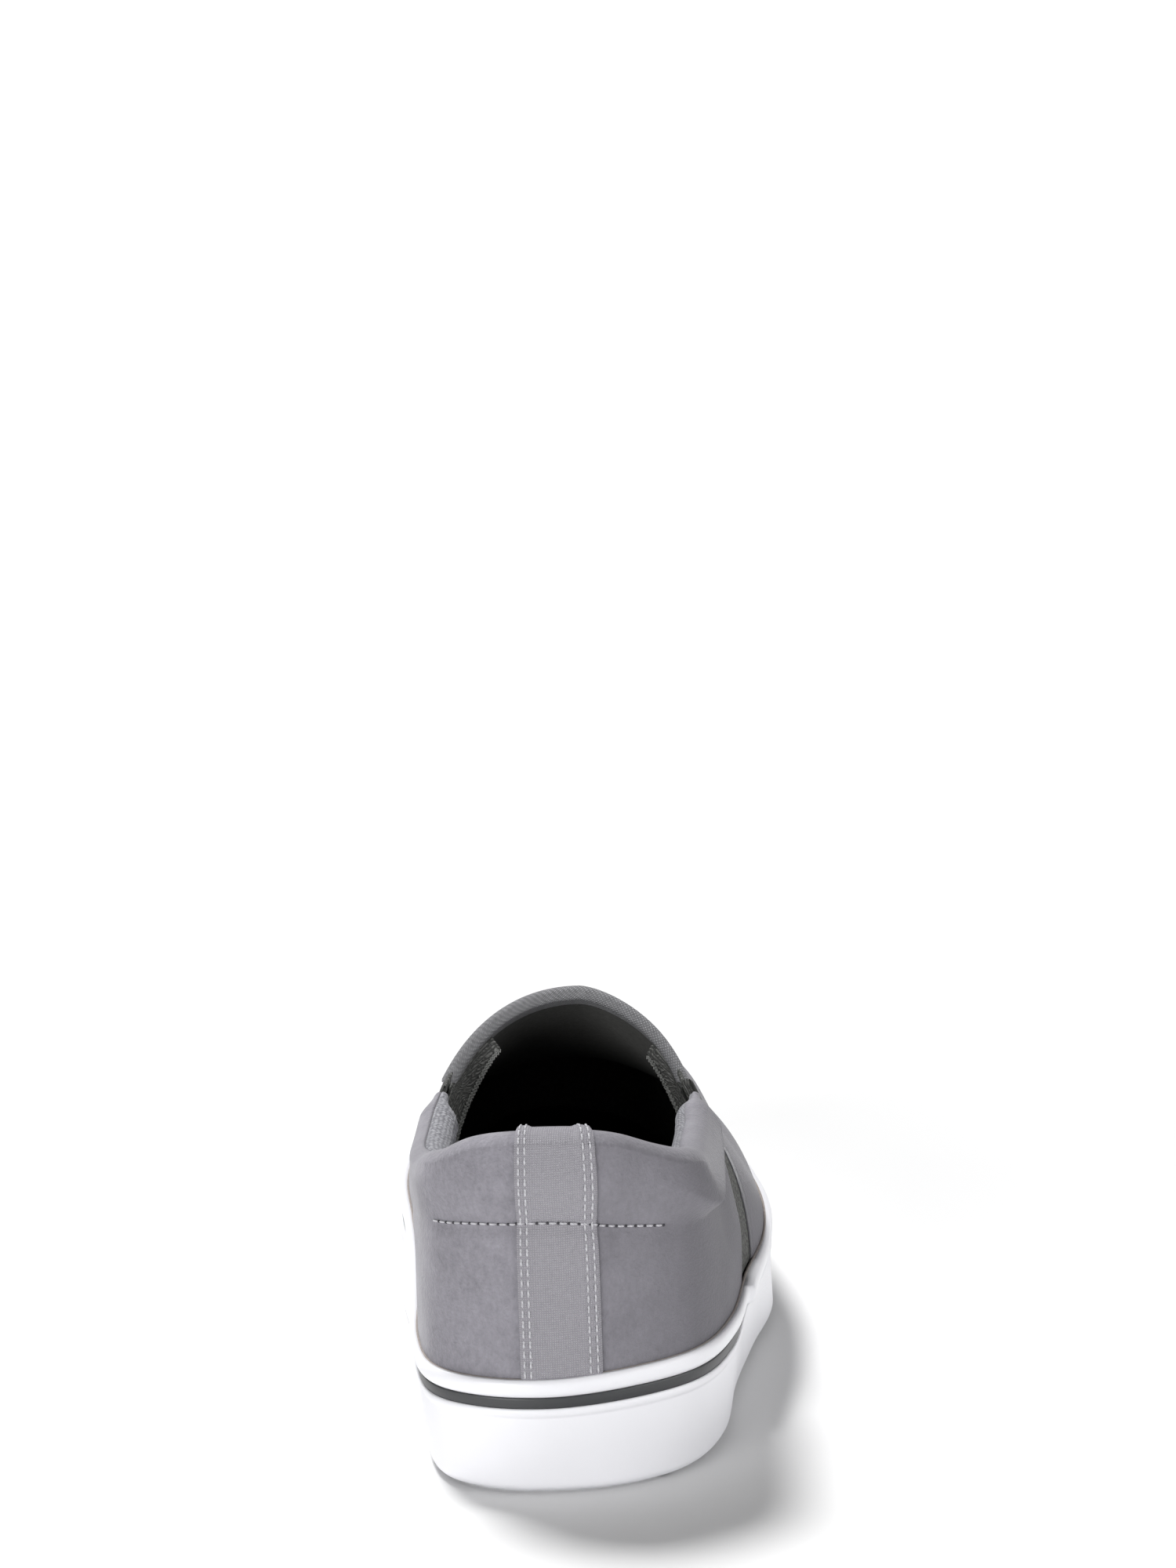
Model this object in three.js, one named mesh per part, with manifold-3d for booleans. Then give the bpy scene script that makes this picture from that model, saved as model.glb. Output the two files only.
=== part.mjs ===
// Slip-on sneaker, right shoe, standing empty on its sole.
// Millimetres, +X lateral (outer side), +Y from heel to toe, +Z up, z = 0 on the floor.
// The origin lies on the heel's tread, REST_ALONG in front of the back of the heel.

import * as THREE from 'three';
import Module from 'manifold-3d';

// Overall sizes
const LENGTH = 292;              // back of the heel to the tip of the toe, over the foxing
const BALL_WIDTH = 94;           // width of the foxing's top edge at the ball of the foot
const HEEL_HEIGHT = 89;          // floor to the collar at the back
const INSTEP_HEIGHT = 97.5;      // floor to the top of the vamp's edge
const SOLE_HEIGHT = 29.5;        // floor to the foxing's top edge at the back
const REST_ALONG = 32;           // back of the heel to the origin
const TOE_SPRING = 7.5;          // lift of the sole's tip
const ARCH_LIFT = 1.2;           // lift of the tread at the waist

// Walls, clearances and small sizes
const WALL = 2.2;                // upper: outer fabric and lining together
const FIT_GAP = 0.3;             // clearance between pieces that lie on each other
const PAD_DEPTH = 5.6;           // foam of the collar, towards the foot
const PAD_SWELL = 1.3;           // foam of the collar, outwards
const PAD_BULGE = 2;             // more of it at the lateral front
const VAMP_ROLL = 3.6;           // thickness of the vamp's bound edge
const FOXING_WALL = 2.6;         // tall sidewall tape
const FOXING_FLOOR_GAP = 0.8;    // the tape ends this far above the tread
const FOXING_ROUND = 2.4;        // rounding of the tape's lower edge
const FOXING_TAPER = 4;          // full taper of the sidewall between its top and the floor
const BEAD_PROUD = 0.5;          // small bead along the sidewall's top
const BEAD_HEIGHT = 2.2;
const STRIPE_WALL = 1.3;         // dark stripe tape
const STRIPE_HEIGHT = 2.3;
const STRIP_WALL = 1.3;          // white strip that covers the edge of the upper
const STRIP_HEIGHT = 4.4;
const STRIP_CROWN = 0.7;         // how far the strip's middle stands out
const STRIP_LAP = 1.6;           // the strip's front end lies over its rear end
const OUTSOLE_THICKNESS = 10;
const INSOLE_THICKNESS = 4.4;
const GROOVE_WIDTH = 2.4;
const GROOVE_DEPTH = 2;
const GROOVE_PITCH = 12;
const GORE_WALL = 1.2;           // elastic gores
const GORE_RECESS = 0.9;         // how far they lie behind the upper's face
const HEEL_STRIP_WALL = 1.1;     // canvas strip up the back of the heel
const SOLE_EDGE = 0.8;           // chamfer round the outsole's lower and the insole's upper edge

// Heights above the floor and depths that follow from these
const STRIPE_TOP = SOLE_HEIGHT - STRIP_HEIGHT - FIT_GAP;
const STRIPE_LOW = STRIPE_TOP - STRIPE_HEIGHT;
const SIDEWALL_TOP = STRIPE_LOW - FIT_GAP;
const UPPER_INSET = STRIP_WALL + FIT_GAP;

// Stations from the heel to the toe. Lengths are shares of the named sizes:
// along and ridge of LENGTH, lateral, medial and lean of BALL_WIDTH, crown of INSTEP_HEIGHT,
// collar and seam of HEEL_HEIGHT, rise of SOLE_HEIGHT, tapers of FOXING_TAPER.
// lateral, medial: foxing's top edge; ridge, lean: where the section's lines meet on top;
// crown: height of that meeting; fullness: how square the section is;
// collar: top of the open wall; seam: lower edge of the collar pad.
const COLUMNS = [
  'along', 'lateral', 'medial', 'ridge', 'lean', 'crown', 'fullnessLateral', 'fullnessMedial',
  'collarLateral', 'collarMedial', 'seamLateral', 'seamMedial', 'rise',
  'taperLateral', 'taperMedial',
];
const STATIONS = [
  [0.000, -0.074, -0.074, 0.144, -0.043, 1.149, 3.60, 3.60, 0.955, 0.955, 0.757, 0.757, 0.000, 0.85, 0.85],
  [0.014, 0.139, -0.250, 0.146, -0.043, 1.149, 3.60, 3.60, 0.933, 0.938, 0.733, 0.752, 0.034, 0.65, 0.80],
  [0.055, 0.326, -0.375, 0.151, -0.040, 1.149, 2.93, 3.40, 0.848, 0.876, 0.700, 0.730, 0.068, 1.09, 0.75],
  [0.137, 0.419, -0.421, 0.178, -0.030, 1.159, 1.78, 3.20, 0.801, 0.815, 0.688, 0.690, 0.081, 1.00, 0.70],
  [0.257, 0.468, -0.428, 0.264, 0.000, 1.159, 1.50, 2.60, 0.784, 0.798, 0.715, 0.700, 0.081, 1.27, 0.60],
  [0.377, 0.525, -0.441, 0.373, 0.030, 1.021, 1.57, 2.16, 0.860, 0.885, 0.840, 0.840, 0.061, 1.20, 0.25],
  [0.497, 0.537, -0.463, 0.490, 0.039, 0.830, 1.46, 2.06, 0.860, 0.885, 0.840, 0.840, 0.027, -0.15, -0.35],
  [0.616, 0.506, -0.486, 0.608, 0.025, 0.680, 1.56, 1.92, 0.860, 0.885, 0.840, 0.840, 0.000, -0.30, -0.60],
  [0.736, 0.442, -0.468, 0.722, -0.003, 0.578, 1.75, 1.85, 0.860, 0.885, 0.840, 0.840, 0.000, -0.25, -0.60],
  [0.839, 0.381, -0.424, 0.810, -0.034, 0.530, 2.41, 1.90, 0.860, 0.885, 0.840, 0.840, 0.000, 0.00, -0.30],
  [0.925, 0.288, -0.350, 0.856, -0.050, 0.522, 2.71, 2.35, 0.860, 0.885, 0.840, 0.840, 0.000, 0.20, 0.20],
  [0.976, 0.139, -0.250, 0.872, -0.055, 0.513, 2.80, 2.80, 0.860, 0.885, 0.840, 0.840, 0.000, 0.30, 0.30],
  [1.000, -0.064, -0.064, 0.878, -0.057, 0.508, 2.80, 2.80, 0.860, 0.885, 0.840, 0.840, 0.000, 0.35, 0.35],
];
const LAST = STATIONS.length - 1;   // station number of the toe's tip
const ROUND = 2 * LAST;             // stations once round the shoe, lateral side first

// Places on the station scale
const COLLAR_TIP = 4.55;            // front end of the padded collar
const THROAT = 5.15;                // middle of the vamp's top edge
const PAD_FULL = 4.2;               // the pad is full up to here and gone at the collar tip
const BULGE = { start: 1.6, full: 3 };
const STRIP_JOINT = 3.7;            // where the white strip laps over itself
const STRIP_JOINT_END = 5.5;        // where the lap has faded out
const GORE = { rearLow: 3.75, rearTop: 4.6, frontLow: 4.38, frontTop: 4.78 };
const HEEL_STRIP = { medial: -0.34, lateral: 0.69 };
const HEEL_STRIP_FOOT = 0.08;       // kept clear above the foxing, as a share of the first row

// Places along the shoe, as shares of its length
const FLAT_END = 0.7;               // the tread is flat up to here
const WAIST = { start: 0.33, end: 0.53 };

// Tread grooves: first one as a share of the length, how many, and their share of the ball's width
const GROOVE_GROUPS = [
  { start: 0.055, count: 5, width: 0.52 },
  { start: 0.545, count: 4, width: 0.69 },
];

// Shares of the wall and of its openings
const SEAM_LIMIT = 0.93;            // the pad's seam stays below this share of the wall
const EDGE_ROW = 0.75;              // the edge's rows start here where there is no pad
const GORE_EDGE = 0.04;             // share of the opening's width kept clear at each edge
const GORE_FOOT = 0.06;             // share of the opening's first row kept clear below
const OPENING_OVERRUN = 1.18;       // the cut runs out past the edge of the wall
const BEAD_FLANK = 0.3;             // share of the bead's height that each flank takes up

// Resolution
const ROW_COUNT_LOW = 4;            // wall rows below the collar pad's seam
const ROW_COUNT_PAD = 3;            // wall rows above it
const REAR_STATIONS = 12;
const THROAT_STATIONS = 5;
const FRONT_STATIONS = 18;
const GORE_ROWS = 6;
const GORE_LINES = 4;
const HEEL_STRIP_LINES = 4;
const STRIP_ROWS = 5;
const RIM_ANGLES = [45, 90, 135];   // half-round edge of the opening, in degrees

const wasm = await Module();
wasm.setup();

// Station table

function splineBlend(p0, p1, p2, p3, s) {
  const m1 = (p2 - p0) / 2;
  const m2 = (p3 - p1) / 2;
  const s2 = s * s;
  const s3 = s2 * s;
  return (2 * s3 - 3 * s2 + 1) * p1 + (s3 - 2 * s2 + s) * m1
    + (3 * s2 - 2 * s3) * p2 + (s3 - s2) * m2;
}

// A column's value at station number t, smooth and mirrored at both ends.
function column(name, t) {
  const k = COLUMNS.indexOf(name);
  const at = (i) => STATIONS[i < 0 ? -i : i > LAST ? ROUND - i : i][k];
  const i = Math.min(LAST - 1, Math.floor(t));
  return splineBlend(at(i - 1), at(i), at(i + 1), at(i + 2), t - i);
}

// Folds a place u once round the shoe onto the station scale.
function stationOf(u) {
  const turned = ((u % ROUND) + ROUND) % ROUND;
  return turned <= LAST ? turned : ROUND - turned;
}

function isLateral(u) {
  return ((u % ROUND) + ROUND) % ROUND <= LAST;
}

function sided(lateralName, medialName, u) {
  return column(isLateral(u) ? lateralName : medialName, stationOf(u));
}

// Foxing's top edge in plan, a closed smooth curve through both sides of the table.
function edgePoint(u) {
  const turned = ((u % ROUND) + ROUND) % ROUND;
  const at = (i) => {
    const j = ((i % ROUND) + ROUND) % ROUND;
    const [along, lateral, medial] = STATIONS[j <= LAST ? j : ROUND - j];
    return { x: (j <= LAST ? lateral : medial) * BALL_WIDTH, y: along * LENGTH };
  };
  const i = Math.floor(turned);
  const p = [at(i - 1), at(i), at(i + 1), at(i + 2)];
  const s = turned - i;
  return new THREE.Vector2(
    splineBlend(p[0].x, p[1].x, p[2].x, p[3].x, s),
    splineBlend(p[0].y, p[1].y, p[2].y, p[3].y, s),
  );
}

// The plan curve moved inwards by a distance, square to itself.
function insetPoint(u, inset) {
  const step = 0.001;
  const along = edgePoint(u + step).sub(edgePoint(u - step)).normalize();
  return edgePoint(u).add(new THREE.Vector2(-along.y, along.x).multiplyScalar(inset));
}

function toeLift(y) {
  const share = Math.max(0, y / LENGTH - FLAT_END) / (1 - FLAT_END);
  return TOE_SPRING * share * share;
}

function archLift(y) {
  const share = (y / LENGTH - WAIST.start) / (WAIST.end - WAIST.start);
  return share > 0 && share < 1 ? ARCH_LIFT * Math.sin(Math.PI * share) ** 2 : 0;
}

function fullnessAt(u) {
  return sided('fullnessLateral', 'fullnessMedial', u);
}

function foxingScale(u) {
  return isLateral(u) ? 1 + column('rise', stationOf(u)) : 1;
}

// Point of the sole's side: height above the floor and distance inwards from its tapered face.
function sidePoint(u, height, inset) {
  const taper = FOXING_TAPER * sided('taperLateral', 'taperMedial', u) * (1 - height / SOLE_HEIGHT);
  const p = insetPoint(u, taper + inset);
  return new THREE.Vector3(p.x, p.y - REST_ALONG, height * foxingScale(u) + toeLift(p.y));
}

// Point of the upper's form: v runs from the foxing's top edge (0) to the ridge (1), inset inwards.
// Each section is a quarter of a superellipse from the edge to the ridge.
function upperPoint(u, v, inset) {
  const t = stationOf(u);
  const base = insetPoint(u, UPPER_INSET + inset);
  const power = 2 / fullnessAt(u);
  const inwards = 1 - Math.cos(v * Math.PI / 2) ** power;
  const upwards = Math.sin(v * Math.PI / 2) ** power;
  const ridgeX = column('lean', t) * BALL_WIDTH;
  const ridgeY = column('ridge', t) * LENGTH;
  const foot = SOLE_HEIGHT * foxingScale(u) + toeLift(base.y);
  const crown = column('crown', t) * INSTEP_HEIGHT - inset;
  return new THREE.Vector3(
    base.x + (ridgeX - base.x) * inwards,
    base.y + (ridgeY - base.y) * inwards - REST_ALONG,
    foot + (crown - foot) * upwards,
  );
}

// Share v at which the wall at u reaches a height.
function shareAtHeight(u, height) {
  const t = stationOf(u);
  const foot = SOLE_HEIGHT * foxingScale(u);
  const share = (height - foot) / (column('crown', t) * INSTEP_HEIGHT - foot);
  return 2 / Math.PI * Math.asin(THREE.MathUtils.clamp(share, 0, 1) ** (fullnessAt(u) / 2));
}

function collarShare(u) {
  return shareAtHeight(u, sided('collarLateral', 'collarMedial', u) * HEEL_HEIGHT);
}

// Upper edge of the wall: collar, then the throat's quarter round up to the ridge, then the ridge.
function topShare(u) {
  const t = stationOf(u);
  if (t <= COLLAR_TIP) {
    return collarShare(u);
  }
  if (t >= THROAT) {
    return 1;
  }
  const across = Math.sqrt(1 - ((t - COLLAR_TIP) / (THROAT - COLLAR_TIP)) ** 2);
  return 1 - (1 - collarShare(isLateral(u) ? COLLAR_TIP : ROUND - COLLAR_TIP)) * across;
}

function seamShare(u) {
  if (stationOf(u) < COLLAR_TIP) {
    const seam = shareAtHeight(u, sided('seamLateral', 'seamMedial', u) * HEEL_HEIGHT);
    return Math.min(seam, SEAM_LIMIT * topShare(u));
  }
  return EDGE_ROW * topShare(u);
}

// How full the collar pad is at u, from 1 at the heel to 0 at the collar tip.
function padShare(u) {
  return 1 - THREE.MathUtils.smoothstep(stationOf(u), PAD_FULL, COLLAR_TIP);
}

// How far the full pad stands out at u.
function padSwell(u) {
  const bulge = isLateral(u) ? THREE.MathUtils.smoothstep(stationOf(u), BULGE.start, BULGE.full) : 0;
  return PAD_SWELL + PAD_BULGE * bulge;
}

// Wall rows: a share v for each row, and how much of the pad the row has.
function wallRows(u) {
  const rows = [];
  const seam = seamShare(u);
  const top = topShare(u);
  for (let i = 0; i <= ROW_COUNT_LOW; i += 1) {
    rows.push({ v: seam * i / ROW_COUNT_LOW, pad: 0 });
  }
  for (let i = 1; i <= ROW_COUNT_PAD; i += 1) {
    const share = i / ROW_COUNT_PAD;
    rows.push({ v: seam + (top - seam) * share, pad: padShare(u) });
  }
  return rows;
}

// Stations of one side: even to the collar tip, closing up round the throat, even to the toe.
function sideStations() {
  const list = [];
  for (let i = 0; i < REAR_STATIONS; i += 1) {
    list.push(COLLAR_TIP * i / REAR_STATIONS);
  }
  for (let i = 0; i < THROAT_STATIONS; i += 1) {
    const turn = Math.PI / 2 * i / THROAT_STATIONS;
    list.push(COLLAR_TIP + (THROAT - COLLAR_TIP) * Math.sin(turn));
  }
  for (let i = 0; i <= FRONT_STATIONS; i += 1) {
    list.push(THROAT + (LAST - THROAT) * i / FRONT_STATIONS);
  }
  return list;
}

const SIDE = sideStations();
const LOOP = [...SIDE, ...SIDE.slice(1, -1).reverse().map((t) => ROUND - t)];
const THROAT_INDEX = SIDE.indexOf(THROAT);
const LAST_INDEX = SIDE.length - 1;
const mirrorIndex = (i) => (LOOP.length - i) % LOOP.length;

// Closed meshes from indexed vertices

class Skin {
  constructor() {
    this.points = [];
    this.triangles = [];
  }

  add(point) {
    this.points.push(point);
    return this.points.length - 1;
  }

  quad(a, b, c, d) {
    this.triangle(a, b, c);
    this.triangle(a, c, d);
  }

  triangle(a, b, c) {
    if (a !== b && b !== c && c !== a) {
      this.triangles.push([a, b, c]);
    }
  }

  // Quads between neighbouring lines of vertex numbers, closed both ways where asked.
  sheet(lines, closedLines, closedRows) {
    const lineCount = closedLines ? lines.length : lines.length - 1;
    for (let i = 0; i < lineCount; i += 1) {
      const a = lines[i];
      const b = lines[(i + 1) % lines.length];
      const rowCount = closedRows ? a.length : a.length - 1;
      for (let k = 0; k < rowCount; k += 1) {
        const next = (k + 1) % a.length;
        this.quad(a[k], b[k], b[next], a[next]);
      }
    }
  }

  // The mesh's volume, positive when the faces look outwards.
  volume() {
    return this.triangles.reduce((sum, [a, b, c]) => {
      const [p, q, r] = [this.points[a], this.points[b], this.points[c]];
      return sum + p.dot(new THREE.Vector3().crossVectors(q, r)) / 6;
    }, 0);
  }

  geometry() {
    const flip = this.volume() < 0;
    const order = flip ? this.triangles.map(([a, b, c]) => [a, c, b]) : this.triangles;
    const geometry = new THREE.BufferGeometry();
    const flat = this.points.flatMap((p) => [p.x, p.y, p.z]);
    geometry.setAttribute('position', new THREE.Float32BufferAttribute(flat, 3));
    geometry.setIndex(order.flat());
    return geometry;
  }
}

// Ring round the shoe: a closed profile of [height, inset] points at each station.
function ringGeometry(profileAt) {
  const skin = new Skin();
  const lines = LOOP.map((u) => profileAt(u).map(
    ([height, inset]) => skin.add(sidePoint(u, height, inset)),
  ));
  skin.sheet(lines, true, true);
  return skin.geometry();
}

// Plate inside the shoe: rings of [height, inset] from bottom to top, closed across below and above.
function plateGeometry(profile, lowerLift) {
  const skin = new Skin();
  const lines = LOOP.map((u) => profile.map(([height, inset], k) => {
    const p = sidePoint(u, height, inset);
    p.z = height + toeLift(p.y + REST_ALONG) + (k <= lowerLift ? archLift(p.y + REST_ALONG) : 0);
    return skin.add(p);
  }));
  skin.sheet(lines, true, false);
  const top = profile.length - 1;
  for (let i = 0; i < LAST_INDEX; i += 1) {
    const [a, b] = [lines[i], lines[i + 1]];
    const [c, d] = [lines[mirrorIndex(i + 1)], lines[mirrorIndex(i)]];
    skin.quad(a[0], d[0], c[0], b[0]);
    skin.quad(a[top], b[top], c[top], d[top]);
  }
  return skin.geometry();
}

// Patch of the upper's form between an outer and an inner inset. placeAt(a, b) gives the place
// round the shoe, the share up the section and the swelling for shares a across and b upwards.
// The lowest row is raised by a share of the row above it.
function patchGeometry(across, upwards, outer, inner, placeAt, raised = 0) {
  const skin = new Skin();
  const layer = (inset) => across.map((a) => upwards.map((b) => {
    const place = placeAt(a, b);
    return skin.add(upperPoint(place.u, place.v, inset - place.swell));
  }));
  const front = layer(outer);
  const back = layer(inner);
  for (const line of [...front, ...back]) {
    skin.points[line[0]].lerp(skin.points[line[1]], raised);
  }
  const end = front.length - 1;
  skin.sheet(front, false, false);
  skin.sheet(back.map((line) => [...line].reverse()), false, false);
  skin.sheet([back[0], front[0]], false, false);
  skin.sheet([front[end], back[end]], false, false);
  skin.sheet([front.map((line) => line[0]), back.map((line) => line[0])], false, false);
  skin.sheet([back.map((line) => line.at(-1)), front.map((line) => line.at(-1))], false, false);
  return skin.geometry();
}

// Solid joins and cuts

function solidOf(geometry) {
  return new wasm.Manifold(new wasm.Mesh({
    numProp: 3,
    vertProperties: new Float32Array(geometry.getAttribute('position').array),
    triVerts: new Uint32Array(geometry.getIndex().array),
  }));
}

function geometryOf(solid) {
  const mesh = solid.getMesh();
  const geometry = new THREE.BufferGeometry();
  geometry.setAttribute('position', new THREE.Float32BufferAttribute(mesh.vertProperties, 3));
  geometry.setIndex([...mesh.triVerts]);
  return geometry;
}

function boxSolid(width, depth, height, x, y, z) {
  const skin = new Skin();
  const corners = [[-1, -1], [1, -1], [1, 1], [-1, 1]];
  const lines = corners.map(([sx, sy]) => [-1, 1].map((sz) => skin.add(
    new THREE.Vector3(x + sx * width / 2, y + sy * depth / 2, z + sz * height / 2),
  )));
  skin.sheet(lines, true, false);
  skin.quad(lines[0][0], lines[3][0], lines[2][0], lines[1][0]);
  skin.quad(lines[0][1], lines[1][1], lines[2][1], lines[3][1]);
  return solidOf(skin.geometry());
}

// Sole

function foxingGeometry() {
  const low = FOXING_FLOOR_GAP;
  const round = FOXING_ROUND;
  const halfTurn = round * (1 - Math.SQRT1_2);
  const bead = SIDEWALL_TOP - BEAD_HEIGHT;
  const flank = BEAD_HEIGHT * BEAD_FLANK;
  return ringGeometry(() => [
    [low, FOXING_WALL],
    [low, round],
    [low + halfTurn, halfTurn],
    [low + round, 0],
    [bead, 0],
    [bead + flank, -BEAD_PROUD],
    [SIDEWALL_TOP - flank, -BEAD_PROUD],
    [SIDEWALL_TOP, 0],
    [SIDEWALL_TOP, FOXING_WALL],
  ]);
}

function stripeGeometry() {
  return ringGeometry(() => [
    [STRIPE_LOW, STRIPE_WALL],
    [STRIPE_LOW, 0],
    [STRIPE_TOP, 0],
    [STRIPE_TOP, STRIPE_WALL],
  ]);
}

// Even shares from 0 to 1.
function shares(count) {
  return Array.from({ length: count + 1 }, (unused, i) => i / count);
}

// Extra thickness where the strip's front end lies over its rear end.
function lapAt(u) {
  const t = stationOf(u);
  if (!isLateral(u) || t < STRIP_JOINT) {
    return 0;
  }
  return STRIP_LAP * (1 - THREE.MathUtils.smoothstep(t, STRIP_JOINT, STRIP_JOINT_END));
}

function stripGeometry() {
  const low = SOLE_HEIGHT - STRIP_HEIGHT;
  return ringGeometry((u) => [
    [low, STRIP_WALL],
    ...shares(STRIP_ROWS).map((share) => [
      low + STRIP_HEIGHT * share,
      -STRIP_CROWN * Math.sin(Math.PI * share) - lapAt(u),
    ]),
    [SOLE_HEIGHT, STRIP_WALL],
  ]);
}

function outsoleGeometry() {
  const inset = FOXING_WALL + FIT_GAP;
  const slab = plateGeometry([
    [0, inset + SOLE_EDGE],
    [SOLE_EDGE, inset],
    [OUTSOLE_THICKNESS, inset],
  ], 1);
  let solid = solidOf(slab);
  for (const group of GROOVE_GROUPS) {
    for (let i = 0; i < group.count; i += 1) {
      const y = group.start * LENGTH + GROOVE_PITCH * i - REST_ALONG;
      const width = group.width * BALL_WIDTH;
      solid = solid.subtract(boxSolid(width, GROOVE_WIDTH, 2 * GROOVE_DEPTH, 0, y, 0));
    }
  }
  return geometryOf(solid);
}

function insoleGeometry() {
  const low = OUTSOLE_THICKNESS + FIT_GAP;
  const inset = FOXING_WALL + FIT_GAP + WALL + FIT_GAP;
  return plateGeometry([
    [low, inset],
    [low + INSOLE_THICKNESS - SOLE_EDGE, inset],
    [low + INSOLE_THICKNESS, inset + SOLE_EDGE],
  ], -1);
}

// Upper: outer face, inner face, edge round the opening and lower edge, one closed wall.

function upperWall() {
  const skin = new Skin();
  const marginHeights = [OUTSOLE_THICKNESS + FIT_GAP, STRIPE_LOW];
  const marginInset = FOXING_WALL + FIT_GAP;
  const sideIndex = (i) => Math.min(i, LOOP.length - i);

  const buildFace = (inner) => {
    const lines = [];
    LOOP.forEach((u, i) => {
      const line = marginHeights.map((height) => skin.add(
        sidePoint(u, height, marginInset + (inner ? WALL : 0)),
      ));
      const rows = wallRows(u);
      rows.forEach((row, k) => {
        const last = k === rows.length - 1;
        if (last && i > LAST_INDEX && sideIndex(i) >= THROAT_INDEX) {
          line.push(lines[mirrorIndex(i)].at(-1));
          return;
        }
        const rolled = last && sideIndex(i) <= THROAT_INDEX;
        const roll = rolled ? (VAMP_ROLL - WALL) * (1 - padShare(u)) : 0;
        const inset = inner ? WALL + PAD_DEPTH * row.pad + roll : -padSwell(u) * row.pad;
        line.push(skin.add(upperPoint(u, row.v, inset)));
      });
      lines.push(line);
    });
    return lines;
  };
  const outer = buildFace(false);
  const inner = buildFace(true);
  skin.sheet(outer, true, false);
  skin.sheet(inner.map((line) => [...line].reverse()), true, false);
  skin.sheet(LOOP.map((u, i) => [inner[i][0], outer[i][0]]), true, false);

  // Half-round edge of the opening, from the medial throat round the heel to the lateral throat.
  const open = [];
  for (let i = LOOP.length - THROAT_INDEX + 1; i < LOOP.length; i += 1) {
    open.push(i);
  }
  for (let i = 0; i <= THROAT_INDEX; i += 1) {
    open.push(i);
  }
  const outerTop = open.map((i) => outer[i].at(-1));
  const innerTop = open.map((i) => inner[i].at(-1));
  const corners = open.map((i, k) => [skin.points[outerTop[k]], skin.points[innerTop[k]]]);
  const middle = corners.map(([from, to]) => from.clone().lerp(to, 0.5));
  const rim = open.map((i, k) => {
    const before = middle[(k + open.length - 1) % open.length];
    const after = middle[(k + 1) % open.length];
    const half = corners[k][0].clone().sub(middle[k]);
    const crest = half.clone().cross(after.clone().sub(before)).setLength(half.length());
    const arc = RIM_ANGLES.map((degrees) => {
      const angle = THREE.MathUtils.degToRad(degrees);
      return skin.add(middle[k].clone()
        .addScaledVector(half, Math.cos(angle))
        .addScaledVector(crest, Math.sin(angle)));
    });
    return [outerTop[k], ...arc, innerTop[k]];
  });
  skin.sheet(rim, true, false);
  return solidOf(skin.geometry());
}

// Place on the gore's opening: a runs from the quarter to the vamp, b from the foxing upwards.
function gorePlace(side, a, b) {
  const rear = GORE.rearLow + (GORE.rearTop - GORE.rearLow) * b;
  const front = GORE.frontLow + (GORE.frontTop - GORE.frontLow) * b;
  const t = rear + (front - rear) * a;
  const u = side === 'lateral' ? t : ROUND - t;
  return { u, v: topShare(u) * b, swell: 0 };
}

// Cut for a gore, from well outside the wall to well inside it.
function goreOpening(side) {
  const rows = [...shares(GORE_ROWS), OPENING_OVERRUN];
  const place = (a, b) => gorePlace(side, a, b);
  return solidOf(patchGeometry(shares(GORE_LINES), rows, -2 * WALL, 4 * WALL, place));
}

function goreGeometry(side) {
  const place = (a, b) => gorePlace(side, GORE_EDGE + (1 - 2 * GORE_EDGE) * a, b);
  const [outer, inner] = [GORE_RECESS, GORE_RECESS + GORE_WALL];
  return patchGeometry(shares(GORE_LINES), shares(GORE_ROWS), outer, inner, place, GORE_FOOT);
}

function upperGeometry() {
  const wall = upperWall().subtract(goreOpening('lateral')).subtract(goreOpening('medial'));
  return geometryOf(wall);
}

// Canvas strip up the back of the heel, laid on the upper's own form in the wall's own rows.
function heelStripGeometry() {
  const rowCount = ROW_COUNT_LOW + ROW_COUNT_PAD;
  const place = (a, b) => {
    const u = HEEL_STRIP.medial + (HEEL_STRIP.lateral - HEEL_STRIP.medial) * a;
    const rows = wallRows(u);
    const row = rows[Math.round(b * rowCount)];
    return { u, v: Math.max(row.v, rows[1].v * HEEL_STRIP_FOOT), swell: padSwell(u) * row.pad };
  };
  const across = shares(HEEL_STRIP_LINES);
  return patchGeometry(across, shares(rowCount), -FIT_GAP - HEEL_STRIP_WALL, -FIT_GAP, place);
}

// Assembly

const FINISH = {
  rubber: { color: 0xe9e9ec, roughness: 0.55 },
  stripe: { color: 0x3c3f3e, roughness: 0.6 },
  fabric: { color: 0xa19fa5, roughness: 0.95 },
  canvas: { color: 0x9a9894, roughness: 0.95 },
  elastic: { color: 0x5f605c, roughness: 0.9 },
  lining: { color: 0x3a3a3b, roughness: 0.95 },
};

function piece(name, geometry, finish) {
  const material = new THREE.MeshStandardMaterial({ ...FINISH[finish], metalness: 0 });
  const mesh = new THREE.Mesh(geometry, material);
  mesh.name = name;
  return mesh;
}

const shoe = new THREE.Group();
shoe.add(
  piece('outsole', outsoleGeometry(), 'rubber'),
  piece('foxing', foxingGeometry(), 'rubber'),
  piece('foxing_stripe', stripeGeometry(), 'stripe'),
  piece('foxing_strip', stripGeometry(), 'rubber'),
  piece('insole', insoleGeometry(), 'lining'),
  piece('upper', upperGeometry(), 'fabric'),
  piece('gore_lateral', goreGeometry('lateral'), 'elastic'),
  piece('gore_medial', goreGeometry('medial'), 'elastic'),
  piece('heel_strip', heelStripGeometry(), 'canvas'),
);

export default shoe;
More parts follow.
